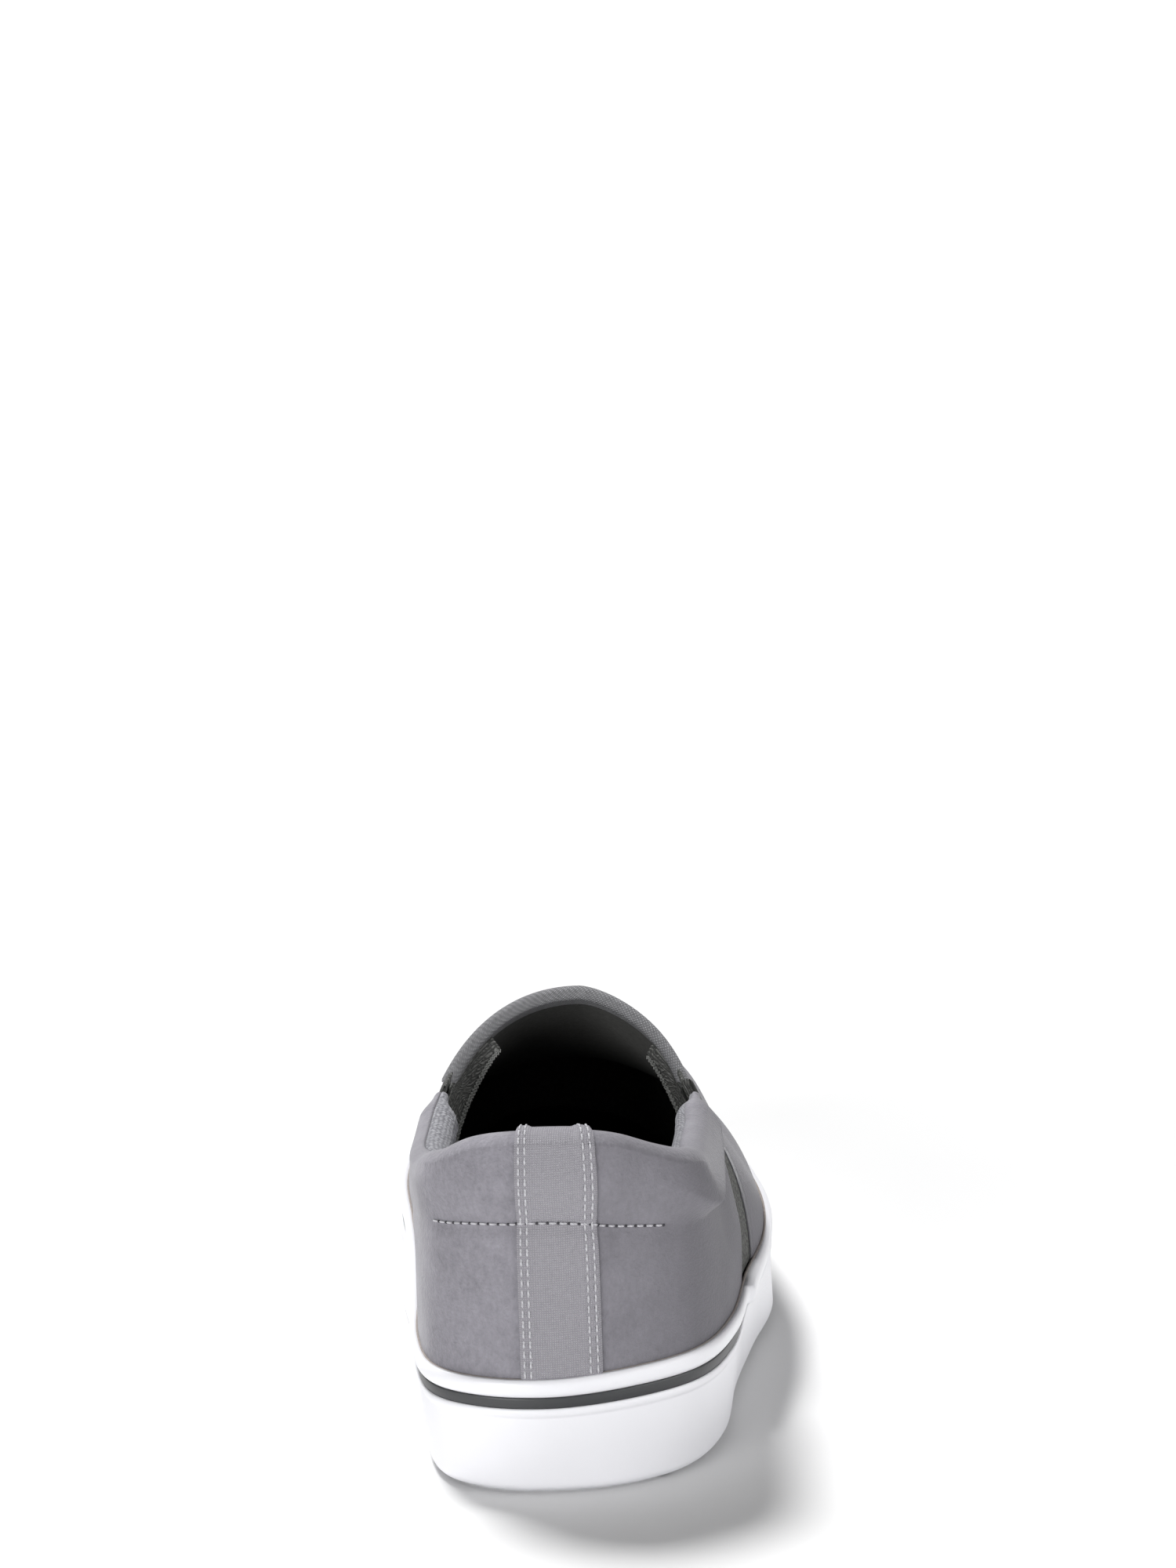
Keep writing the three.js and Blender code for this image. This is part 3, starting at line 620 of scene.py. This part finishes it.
def woven(name, dark, light, thread, turn=0.0, depth=0.00025):
    """Plain weave: warp and weft as two bands of waves, the crossings standing out."""
    material, tree, shader = start_material(name, 0.9, **{"Specular IOR Level": 0.25})
    place = run_place(tree, turn)
    warp, weft = (bands(tree, place, thread, direction) for direction in "XY")
    fuzz = computed(tree, "MULTIPLY", noise(tree, place, thread * 2.3, 3.0), 0.35)
    share = computed(tree, "MULTIPLY_ADD", computed(tree, "MULTIPLY", warp, weft), 0.75, fuzz)
    cover(tree, shader, mixed(tree, share, dark, light), share, depth, 0.9)
    return material


def knit(name, dark, light, loop):
    """Tricot knit: rows of small loops, so a grid of raised dots with dark gaps between them."""
    material, tree, shader = start_material(name, 0.9, **{"Sheen Weight": 0.15})
    dots = add(tree, "ShaderNodeTexVoronoi", {
        "Vector": run_place(tree), "Scale": 1 / loop, "Randomness": 0.45})
    share = ranged(tree, dots.outputs["Distance"], 0.1, 0.65, 1.0, 0.0)
    cover(tree, shader, mixed(tree, share, dark, light), share, 0.0003, 0.8)
    return material


def elastic_webbing():
    """Elastic webbing: close ribs across the pull, dull, a little lighter on top of each rib."""
    look = bpy.context.scene.shoe_looks
    material, tree, shader = start_material("elastic_webbing", 0.85)
    place = run_place(tree)
    ribs = bands(tree, place, 0.0009, "X", Distortion=1.2, Detail=2.0)
    spots = ranged(tree, noise(tree, place, 0.0008), 0.38, 0.62)
    share = computed(tree, "MULTIPLY", ribs, spots)
    colour = mixed(tree, share, linear(0x3B3C3A), shade(look.elastic))
    cover(tree, shader, colour, share, 0.0003, 0.9)
    return material


def moulded_rubber(name, colour, roughness, pebbled=False):
    """Vulcanised rubber tape: satin skin with faint cloudiness, pebbled from the waist forwards."""
    material, tree, shader = start_material(name, roughness, IOR=1.52)
    place = object_place(tree)
    clouds = noise(tree, place, 0.03, 3.0)
    skin = noise(tree, place, 0.0007)
    if pebbled:
        along = add(tree, "ShaderNodeSeparateXYZ", {"Vector": place}).outputs["Y"]
        skin = computed(tree, "MULTIPLY", skin, ranged(tree, along, 0.035, 0.075, 0.08, 1.0))
    cover(tree, shader, mixed(tree, clouds, shade(colour, 0.965), shade(colour)), skin,
          0.0004 if pebbled else 0.00006, 0.6)
    return material


def twisted_thread(name, colour):
    """Polyester thread: two plies, a soft gloss, fine slanting ridges."""
    material, tree, shader = start_material(name, 0.6)
    plies = bands(tree, object_place(tree), 0.0006, "DIAGONAL")
    cover(tree, shader, mixed(tree, plies, shade(colour, 0.75), colour))
    return material


def dull_cloth(name, colour, size):
    """Brushed lining cloth: dull, nearly even, with a fine cloudy nap."""
    material, tree, shader = start_material(name, 0.95, **{"Specular IOR Level": 0.15})
    nap = noise(tree, object_place(tree), size, 4.0)
    cover(tree, shader, mixed(tree, nap, shade(colour, 0.7), shade(colour, 1.3)), nap, 0.0002, 0.6)
    return material


MADE = {}


def material_for(name):
    """Each finish is made once and shared by the pieces that have it."""
    looks = bpy.context.scene.shoe_looks
    recipes = {
        "fabric": brushed_fabric,
        "canvas": lambda: woven("plain_canvas", linear(0x86848A), linear(0xB1AFB5), 0.00055),
        "binding": lambda: woven("basket_canvas", linear(0x5E5E60), linear(0xB9B9BC), looks.weave,
                                 turn=0.5, depth=0.0004),
        "knit": lambda: knit("tricot_lining", linear(0x6B6B71), linear(0xB4B4BA), 0.0011),
        "lining": lambda: dull_cloth("brushed_lining", linear(0x5A5A58), 0.0012),
        "footbed": lambda: dull_cloth("footbed_cloth", linear(0x2A2A2C), 0.001),
        "elastic": elastic_webbing,
        "rubber": lambda: moulded_rubber("white_vulcanised_rubber", looks.rubber, 0.42, True),
        "strip": lambda: moulded_rubber("white_strip_rubber", looks.rubber, 0.34),
        "stripe": lambda: moulded_rubber("grey_stripe_rubber", looks.stripe, 0.4),
        "glue": lambda: dull_cloth("dried_glue", linear(0x9A938F), 0.002),
        "thread": lambda: twisted_thread("grey_thread", linear(0xC4C3C8)),
        # needle holes: a dark colour painted as the shade inside them
        "hole": lambda: dull_cloth("needle_hole_shade", linear(0x47464A), 0.001),
        "overlock": lambda: twisted_thread("overlock_thread", linear(0x8C8D8A)),
    }
    if name not in MADE:
        MADE[name] = recipes[name]()
    return MADE[name]


# Sizes and colours that a user would change

def size_value(name, description, default):
    return bpy.props.FloatProperty(name=name, description=description, default=default * MM,
                                   unit="LENGTH", precision=5)


def colour_value(name, description, default):
    return bpy.props.FloatVectorProperty(name=name, description=description, size=3,
                                         default=linear(default)[:3], subtype="COLOR",
                                         min=0.0, max=1.0)


class ShoeLooks(bpy.types.PropertyGroup):
    """Sizes and colours of the shoe's finish."""

    cloth: size_value("Cloth", "Thickness of the outer fabric", 1.0)
    pitch: size_value("Stitch pitch", "From one stitch to the next", 2.5)
    stitch: size_value("Stitch", "Length of one stitch on the surface", 2.0)
    thread: size_value("Thread", "Half the thickness of the sewing thread", 0.28)
    nap: size_value("Nap", "Depth of the fabric's nap", 0.28)
    weave: size_value("Weave", "From one thread of the binding to the next", 0.65)
    fabric: colour_value("Fabric", "Outer fabric of quarters and vamp", 0x89878E)
    elastic: colour_value("Elastic", "Ribs of the gores", 0x92928F)
    rubber: colour_value("Rubber", "Foxing, strip and outsole", 0xEDEDF1)
    stripe: colour_value("Stripe", "Dark tape round the sole", 0x3A3B3D)
    key: bpy.props.FloatProperty(name="Key light", description="Strength of the light from the left",
                                 default=3.65)
    fill: bpy.props.FloatProperty(name="Fill light", description="Strength of the light in front",
                                  default=2.55)


# Pieces

def quarter_grid(stations, places):
    """Places of the quarters: u runs between both gores' rear edges, q up the section."""
    q = np.asarray(places)[None, :]
    a = np.linspace(-1, 1, stations)[:, None]
    reach = GORE_REAR_LOW + (GORE_REAR_TOP - GORE_REAR_LOW) * np.clip(wall_rows(q), 0, 1)
    u, q = a * reach, q + 0 * a
    stretch = (lining_edge(u) - 1) / (LINING_EDGE - 1)
    widened = 2 - (2 - q) * (2 - lining_edge(u)) / (2 - LINING_EDGE)
    rim = np.where(q <= LINING_EDGE, 1 + (q - 1) * stretch, widened)
    return u, np.where((q > 1) & (q < 2), rim, q)


def on_side(t, lateral):
    """Place round the shoe of a station on one side."""
    return np.where(lateral, t, ROUND - t)


def vamp_rear(v, lateral):
    """Station of the vamp's rear edge at share v: along the gore, then round the throat."""
    b = np.linspace(0, 1, 60)
    t = GORE_FRONT_LOW + (GORE_FRONT_TOP - GORE_FRONT_LOW) * b
    found = []
    for side in (True, False):
        gore = np.interp(v, top_share(on_side(t, side)) * b, t)
        across = np.clip((1 - v) / (1 - top_share(on_side(COLLAR_TIP, side))), 0, 1)
        throat = COLLAR_TIP + (THROAT - COLLAR_TIP) * np.sqrt(1 - across**2)
        found.append(np.where(v < top_share(on_side(GORE_FRONT_TOP, side)), gore, throat))
    return np.where(lateral, *found)


def vamp_grid(stations, rows):
    """Places of the vamp: t from its rear edge to the toe, and across it the share v of each side,
    up the lateral and down the medial side. The last station is the middle of the toe."""
    r = np.linspace(-1, 1, rows)
    r = np.concatenate([r, r[-2::-1]])
    lateral = np.arange(len(r)) < rows
    rear = vamp_rear(np.maximum(r, 0), lateral)
    p = np.linspace(0, 1, stations)[:, None]
    t = rear + (LAST - rear) * p
    return on_side(t, lateral), r + 0 * p


def vamp_point(u, r, inset):
    """Face of the vamp: the whole section up to the ridge, with its hidden margin below."""
    low = face_point(u, np.minimum(r, 0), inset)
    v = np.maximum(r, 0)
    return np.where((r < 0)[..., None], low, form_point(u, v, inset + hollow_depth(u, v)))


class SHOE_OT_quarters(bpy.types.Operator):
    """Quarters with the padded collar, and the vamp, in brushed fabric"""

    bl_idname = "shoe.quarters"
    bl_label = "Quarters and vamp"

    def execute(self, context):
        cloth = context.scene.shoe_looks.cloth / MM
        places = np.concatenate([np.linspace(0, 1, 96), np.linspace(1, LINING_EDGE, 16)[1:]])
        u, q = quarter_grid(300, places)
        quarters = slab("quarters", wall_point(u, q, 0.0), wall_point(u, q, cloth),
                        material_for("fabric"))
        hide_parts("upper")
        u, r = vamp_grid(150, 80)
        vamp = slab("vamp", vamp_point(u, r, 0.0), vamp_point(u, r, cloth),
                    material_for("fabric"), fold=True)
        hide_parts("upper")
        return {"FINISHED"}


class SHOE_OT_lining(bpy.types.Operator):
    """Knitted lining of the collar and dark lining of the vamp"""

    bl_idname = "shoe.lining"
    bl_label = "Lining and footbed"

    def execute(self, context):
        places = np.concatenate([np.linspace(LINING_EDGE, 2, 12), np.linspace(2, 3, 50)[1:]])
        u, q = quarter_grid(260, places)
        t, _ = station(u)
        pleat = PLEAT * np.cos(u * 2 * np.pi / PLEAT_PITCH)
        pleat = pleat * smooth(t, 3.2, 3.7) * (1 - smooth(t, 4.3, 4.6))
        pleat = pleat * np.exp(-((q - 2.0) / 0.22) ** 2)
        slab("collar_lining", wall_point(u, q, 0.05 + pleat), wall_point(u, q, 0.95 + pleat),
             material_for("knit"))
        u, r = vamp_grid(100, 50)
        slab("vamp_lining", vamp_point(u, r, 1.2), vamp_point(u, r, WALL),
             material_for("lining"), fold=True)
        return {"FINISHED"}


class SHOE_OT_binding(bpy.types.Operator):
    """Canvas tape folded over the vamp's edge"""

    bl_idname = "shoe.binding"
    bl_label = "Binding"

    def execute(self, context):
        ends = [float(top_share(on_side(GORE_FRONT_TOP, side))) for side in (True, False)]
        v = np.concatenate([np.linspace(ends[0], 1, 90), np.linspace(1, ends[1], 90)[1:]])
        lateral = np.arange(len(v)) < 90
        rear = vamp_rear(v, lateral)

        def place(t, inset):
            u = on_side(t, lateral)
            return form_point(u, v, inset + hollow_depth(u, v))

        pace = np.linalg.norm(place(rear + 0.02, 0.0) - place(rear, 0.0), axis=-1) / 0.02
        outside = np.linspace(BINDING_OUT, 0, 8)
        inside = np.linspace(0, BINDING_IN, 14)

        def tape(depth):
            over = [place(rear + x / pace, depth - BINDING_PROUD) for x in outside]
            below = [place(rear + x / pace, VAMP_ROLL - FIT_GAP - depth) for x in inside]
            top, under = over[-1], below[0]
            centre, half = (top + under) / 2, (top - under) / 2
            back = place(rear, 0.0) - place(rear + 0.05, 0.0)
            back -= half * ((back * half).sum(-1) / (half * half).sum(-1))[:, None]
            back *= (np.linalg.norm(half, axis=-1) / np.linalg.norm(back, axis=-1))[:, None]
            turn = np.linspace(0, np.pi, 12)[1:-1]
            rim = [centre + half * np.cos(a) + back * np.sin(a) for a in turn]
            return np.stack(over + rim + below, 1)

        slab("vamp_binding", tape(0.0), tape(BINDING_TAPE), material_for("binding"),
             radius=0.4)
        return {"FINISHED"}


class SHOE_OT_gores(bpy.types.Operator):
    """Elastic gores between quarters and vamp, with their overlocked inner edge"""

    bl_idname = "shoe.gores"
    bl_label = "Gores"

    def execute(self, context):
        rows = []
        for side in ("lateral", "medial"):
            a, b = np.meshgrid(np.linspace(0.04, 0.96, 50), np.linspace(-0.35, 1.07, 96), indexing="ij")
            low = np.maximum(b, 0)
            rear = GORE_REAR_LOW + (GORE_REAR_TOP - GORE_REAR_LOW) * low
            front = GORE_FRONT_LOW + (GORE_FRONT_TOP - GORE_FRONT_LOW) * low
            t = rear + (front - rear) * a
            lateral = side == "lateral"
            u = on_side(t, lateral)
            sunk = GORE_RECESS + hollow_depth(u, low * top_share(u)) * smooth(a, 0.0, 0.5)
            piece = slab("gore_" + side + "_webbing", face_point(u, b, sunk - 0.3),
                         face_point(u, b, sunk + GORE_WALL), material_for("elastic"),
                         radius=0.3)
            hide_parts("gore_" + side)
            tip = float(top_share(on_side(COLLAR_TIP, lateral)))
            shoulder = float(top_share(on_side(GORE_FRONT_TOP, lateral)))

            def turned_over(a, v):
                """Place and inset of the elastic that is turned over the lining and curls inwards."""
                reach = GORE_ALLOWANCE * (1 - 0.9 * smooth(v, tip, ALLOWANCE_TOP))
                start = -0.08 + 0.13 * smooth(v, shoulder, shoulder + 0.05)
                u = on_side(vamp_rear(v, lateral) + start + (reach - start) * a, lateral)
                return u, WALL + 0.1 + ALLOWANCE_CURL * a ** 1.3 + hollow_depth(u, v)

            a, v = np.meshgrid(np.linspace(0, 1, 40), np.linspace(0.6 * tip, ALLOWANCE_TOP, 90),
                               indexing="ij")
            folds = sum(np.exp(-((a - c - 0.06 * np.sin(9 * v)) / 0.05) ** 2) for c in (0.45, 0.72))
            u, curl = turned_over(a, v)
            slab("gore_" + side + "_allowance", form_point(u, v, curl),
                 form_point(u, v, curl + ELASTIC - 0.5 * folds), material_for("elastic"),
                 radius=0.3)
            v = np.linspace(0.6 * tip, ALLOWANCE_TOP, 160)
            for share in (0.88, 0.98):
                u, curl = turned_over(share + 0.03 * np.sign(np.sin(v * 500)), v)
                points = form_point(u, v, curl + ELASTIC + 0.1)
                inwards = np.array([0.0, 70.0, 45.0]) - points
                inwards /= np.linalg.norm(inwards, axis=-1, keepdims=True)
                rows.append((points, inwards))
        stitches("gore_overlock", rows, material_for("overlock"), 1.1, 1.3, 0.28, 0.1)
        return {"FINISHED"}


class SHOE_OT_heel_strip(bpy.types.Operator):
    """Canvas strip up the back of the heel and over the collar's edge"""

    bl_idname = "shoe.heel_strip"
    bl_label = "Heel strip"

    def execute(self, context):
        u, q = np.meshgrid(np.linspace(HEEL_STRIP_MEDIAL, HEEL_STRIP_LATERAL, 44),
                           np.concatenate([np.linspace(face_place(-0.1), 1, 110),
                                           np.linspace(1, LINING_EDGE + 0.1, 20)[1:]]),
                           indexing="ij")
        a = np.linspace(0, 1, 44)[:, None]
        turned = np.minimum(a, 1 - a) * HEEL_STRIP_WIDTH
        edge_roll = STRIP_EDGE * smooth(turned, 0.0, 0.8) * (1 - smooth(turned, 3.2, 4.6))
        rows = 0.18 * sum(np.exp(-((turned - mm) / 0.35) ** 2) for mm in STRIP_ROWS)
        proud = STRIP_PROUD + edge_roll - rows
        strip = slab("heel_strip_canvas", wall_point(u, q, -proud), wall_point(u, q, -0.06 + 0 * a),
                     material_for("canvas"), radius=0.5)
        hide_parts("heel_strip")
        return {"FINISHED"}


class SHOE_OT_stitches(bpy.types.Operator):
    """Stitch rows of the heel strip and of the collar, with dark beads of painted shade for the needle
    holes between them
    """

    bl_idname = "shoe.stitches"
    bl_label = "Stitches"

    def execute(self, context):
        look = context.scene.shoe_looks
        rows = []
        q = np.concatenate([np.linspace(face_place(0.0), 1, 260), np.linspace(1, 1.5, 40)[1:]])
        for mm in (*STRIP_ROWS, *(HEEL_STRIP_WIDTH - mm for mm in STRIP_ROWS[::-1])):
            share = mm / HEEL_STRIP_WIDTH
            u = HEEL_STRIP_MEDIAL + (HEEL_STRIP_LATERAL - HEEL_STRIP_MEDIAL) * share + 0 * q
            rows.append(outer_row(u, q, 1.1))
        u = np.linspace(SEAM_MEDIAL, SEAM_LATERAL, 360)
        q = face_place(seam_share(u) / top_share(u))
        over = (smooth(u, HEEL_STRIP_MEDIAL - 0.05, HEEL_STRIP_MEDIAL)
                * (1 - smooth(u, HEEL_STRIP_LATERAL, HEEL_STRIP_LATERAL + 0.05)))
        rows.append(outer_row(u, q, 0.1 + 0.85 * over))
        pitch, length, thread = look.pitch / MM, look.stitch / MM, look.thread / MM
        stitches("seam_stitches", rows, material_for("thread"), pitch, length, thread, 0.12)
        shifted = []
        for points, outward in rows:
            run = lengths(points, 0)
            keep = run > pitch / 2
            shifted.append((points[keep], outward[keep]))
        # Needle holes: dark, slightly sunk beads whose colour is painted shade inside the holes
        stitches("needle_holes", shifted, material_for("hole"), pitch, 0.75,
                 thread * 1.25, -0.02)
        return {"FINISHED"}


class SHOE_OT_sole(bpy.types.Operator):
    """Foxing with its bead, stripe, top strip, glue line, outsole and footbed"""

    bl_idname = "shoe.sole"
    bl_label = "Sole"

    def execute(self, context):
        low, curve = FOXING_FLOOR_GAP, FOXING_ROUND
        turn = np.linspace(0, np.pi / 2, 9)
        bead = np.linspace(0, 1, 13)

        def sidewall(u):
            foot = [low + curve * (1 - np.cos(a)) for a in turn]
            foot_in = [curve * (1 - np.sin(a)) for a in turn]
            rise = np.linspace(low + curve, SIDEWALL_TOP - BEAD_HEIGHT - 0.5, 16)[1:]
            crown = SIDEWALL_TOP - BEAD_HEIGHT + BEAD_HEIGHT * bead
            out = -BEAD_PROUD * np.sin(np.pi * bead) ** 0.6
            height = np.concatenate([[low], foot, rise, crown, [SIDEWALL_TOP]])
            inset = np.concatenate([[FOXING_WALL], foot_in, 0 * rise, out, [FOXING_WALL]])
            return height, inset

        foxing = ring_piece("foxing_sidewall", sidewall, material_for("rubber"))
        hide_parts("foxing")

        def dark_tape(u):
            s = np.linspace(0, 1, 7)
            height = np.concatenate([[STRIPE_LOW - 0.25], STRIPE_LOW - 0.25 + (STRIPE_HEIGHT + 0.45) * s,
                                     [STRIPE_TOP + 0.2]])
            inset = np.concatenate([[STRIPE_WALL], 0.12 - 0.1 * np.sin(np.pi * s), [STRIPE_WALL]])
            return height, inset

        stripe = ring_piece("stripe_tape", dark_tape, material_for("stripe"))
        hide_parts("foxing_stripe")

        def top_strip(u):
            t, lateral = station(u)
            lap = STRIP_LAP * (1 - smooth(t, STRIP_JOINT, STRIP_JOINT_END))
            lap = np.where(lateral, lap * smooth(t, STRIP_JOINT - 0.03, STRIP_JOINT + 0.03), 0)
            s = np.linspace(0, 1, 21)
            low_edge = SOLE_HEIGHT - STRIP_HEIGHT
            height = np.concatenate([[low_edge], low_edge + STRIP_HEIGHT * s, [SOLE_HEIGHT]])
            out = -STRIP_CROWN * (1 - np.abs(2 * s - 1) ** 2.6) + 0.25 * np.abs(2 * s - 1) ** 6
            inset = np.concatenate([[STRIP_WALL], out, [STRIP_WALL]])
            shape = np.concatenate([[0], np.ones(21), [0]])
            return height, inset - lap * shape

        strip = ring_piece("top_strip", top_strip, material_for("strip"), 1440)
        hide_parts("foxing_strip")

        def glue_line(u):
            return (SOLE_HEIGHT + np.array([-0.6, 0.08, 0.08, -0.6]),
                    np.array([1.02, 1.12, 1.75, 1.75]))

        ring_piece("glue_line", glue_line, material_for("glue"))

        u = np.arange(360)[:, None] * ROUND / 360
        inset = FOXING_WALL + FIT_GAP + WALL + FIT_GAP
        base = OUTSOLE_THICKNESS + FIT_GAP
        profile = [(base, inset), (base + 3.4, inset), (base + 4.1, inset + 0.3),
                   (base + INSOLE_THICKNESS, inset + 1.2)]
        height, depth = (np.array(c)[None, :] + 0 * u for c in zip(*profile))
        rim = side_point(u, height, depth)
        rim[..., 2] = height + toe_lift(rim[..., 1] + REST_ALONG)
        half = 181
        across = np.linspace(0, 1, 30)[None, :, None]
        mirror = (360 - np.arange(half)) % 360
        top = rim[:half, None, 3] + (rim[mirror, None, 3] - rim[:half, None, 3]) * across
        bed = slab("footbed", top, top - np.array([0, 0, INSOLE_THICKNESS]),
                   material_for("footbed"), radius=1.5)
        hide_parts("insole")
        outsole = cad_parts["outsole"]
        outsole.data.materials.clear()
        outsole.data.materials.append(material_for("rubber"))
        return {"FINISHED"}


class SHOE_OT_stage(bpy.types.Operator):
    """Camera at the photograph's angle, pale floor and soft studio light"""

    bl_idname = "shoe.stage"
    bl_label = "Stage"

    def execute(self, context):
        scene = context.scene
        azimuth, elevation, roll = (math.radians(a) for a in (0.5, 17.0, 2.0))
        distance, focal = 1.400, 7300.0
        aim, aim_u, aim_v = Vector((0, 0.013, 0.030)), 733.5, 1686.0
        back = Vector((math.sin(azimuth) * math.cos(elevation),
                       -math.cos(azimuth) * math.cos(elevation), math.sin(elevation)))
        right = (-back).cross(Vector((0, 0, 1))).normalized()
        down = (-back).cross(right)
        base = Matrix((right, down, -back))
        tilt = math.atan((aim_v - 1000) / focal)
        swing = math.atan((aim_u - 750) / focal)
        turned = (Matrix.Rotation(-tilt, 3, "X") @ Matrix.Rotation(swing, 3, "Y")
                  @ Matrix.Rotation(-roll, 3, "Z")) @ base
        camera = bpy.data.objects.new("camera", bpy.data.cameras.new("camera"))
        camera.data.sensor_width = 36.0
        camera.data.lens = focal * 36.0 / 2000
        camera.data.clip_start, camera.data.clip_end = 0.05, 50
        camera.matrix_world = Matrix.Translation(aim + back * distance) @ Matrix(
            (turned[0], -turned[1], -turned[2])).transposed().to_4x4()
        scene.collection.objects.link(camera)
        scene.camera = camera

        bpy.ops.mesh.primitive_plane_add(size=60)
        floor = context.object
        floor.name = "floor"
        material, tree, shader = start_material("pale_floor", 0.6, **{"Specular IOR Level": 0.2})
        shader.inputs["Base Color"].default_value = linear(0xE8E8E8)
        floor.data.materials.append(material)

        looks = scene.shoe_looks
        for name, towards, spread, power in (
            ("key", (-0.22, 0.47, 0.85), 16, looks.key),
            ("fill", (-0.55, -0.82, 0.12), 40, looks.fill),
            ("rim", (0.85, -0.38, 0.14), 60, looks.fill * 0.72),
        ):
            light = bpy.data.lights.new(name, "SUN")
            light.angle, light.energy = math.radians(spread), power
            lamp = bpy.data.objects.new(name, light)
            lamp.rotation_euler = (-Vector(towards)).to_track_quat("-Z", "Y").to_euler()
            scene.collection.objects.link(lamp)
        world = bpy.data.worlds.new("studio")
        world.use_nodes = True
        world.node_tree.nodes["Background"].inputs["Color"].default_value = (1, 1, 1, 1)
        world.node_tree.nodes["Background"].inputs["Strength"].default_value = 0.12
        scene.world = world
        scene.view_settings.view_transform = "Standard"
        return {"FINISHED"}


OPERATORS = [SHOE_OT_quarters, SHOE_OT_lining, SHOE_OT_binding, SHOE_OT_gores, SHOE_OT_heel_strip,
             SHOE_OT_stitches, SHOE_OT_sole, SHOE_OT_stage]


class SHOE_PT_panel(bpy.types.Panel):
    """Lists the shoe's pieces and their finish"""

    bl_label = "Slip-on sneaker"
    bl_idname = "SHOE_PT_panel"
    bl_space_type = "VIEW_3D"
    bl_region_type = "UI"
    bl_category = "Shoe"

    def draw(self, context):
        for name in ShoeLooks.__annotations__:
            self.layout.prop(context.scene.shoe_looks, name)
        for operator in OPERATORS:
            self.layout.operator(operator.bl_idname)


CLASSES = [ShoeLooks, *OPERATORS, SHOE_PT_panel]


def register():
    for item in CLASSES:
        bpy.utils.register_class(item)
    bpy.types.Scene.shoe_looks = bpy.props.PointerProperty(type=ShoeLooks)


def unregister():
    del bpy.types.Scene.shoe_looks
    for item in reversed(CLASSES):
        bpy.utils.unregister_class(item)


def main():
    """Builds every piece in order."""
    register()
    for operator in OPERATORS:
        group, name = operator.bl_idname.split(".")
        getattr(getattr(bpy.ops, group), name)()


if __name__ == "__main__":
    main()
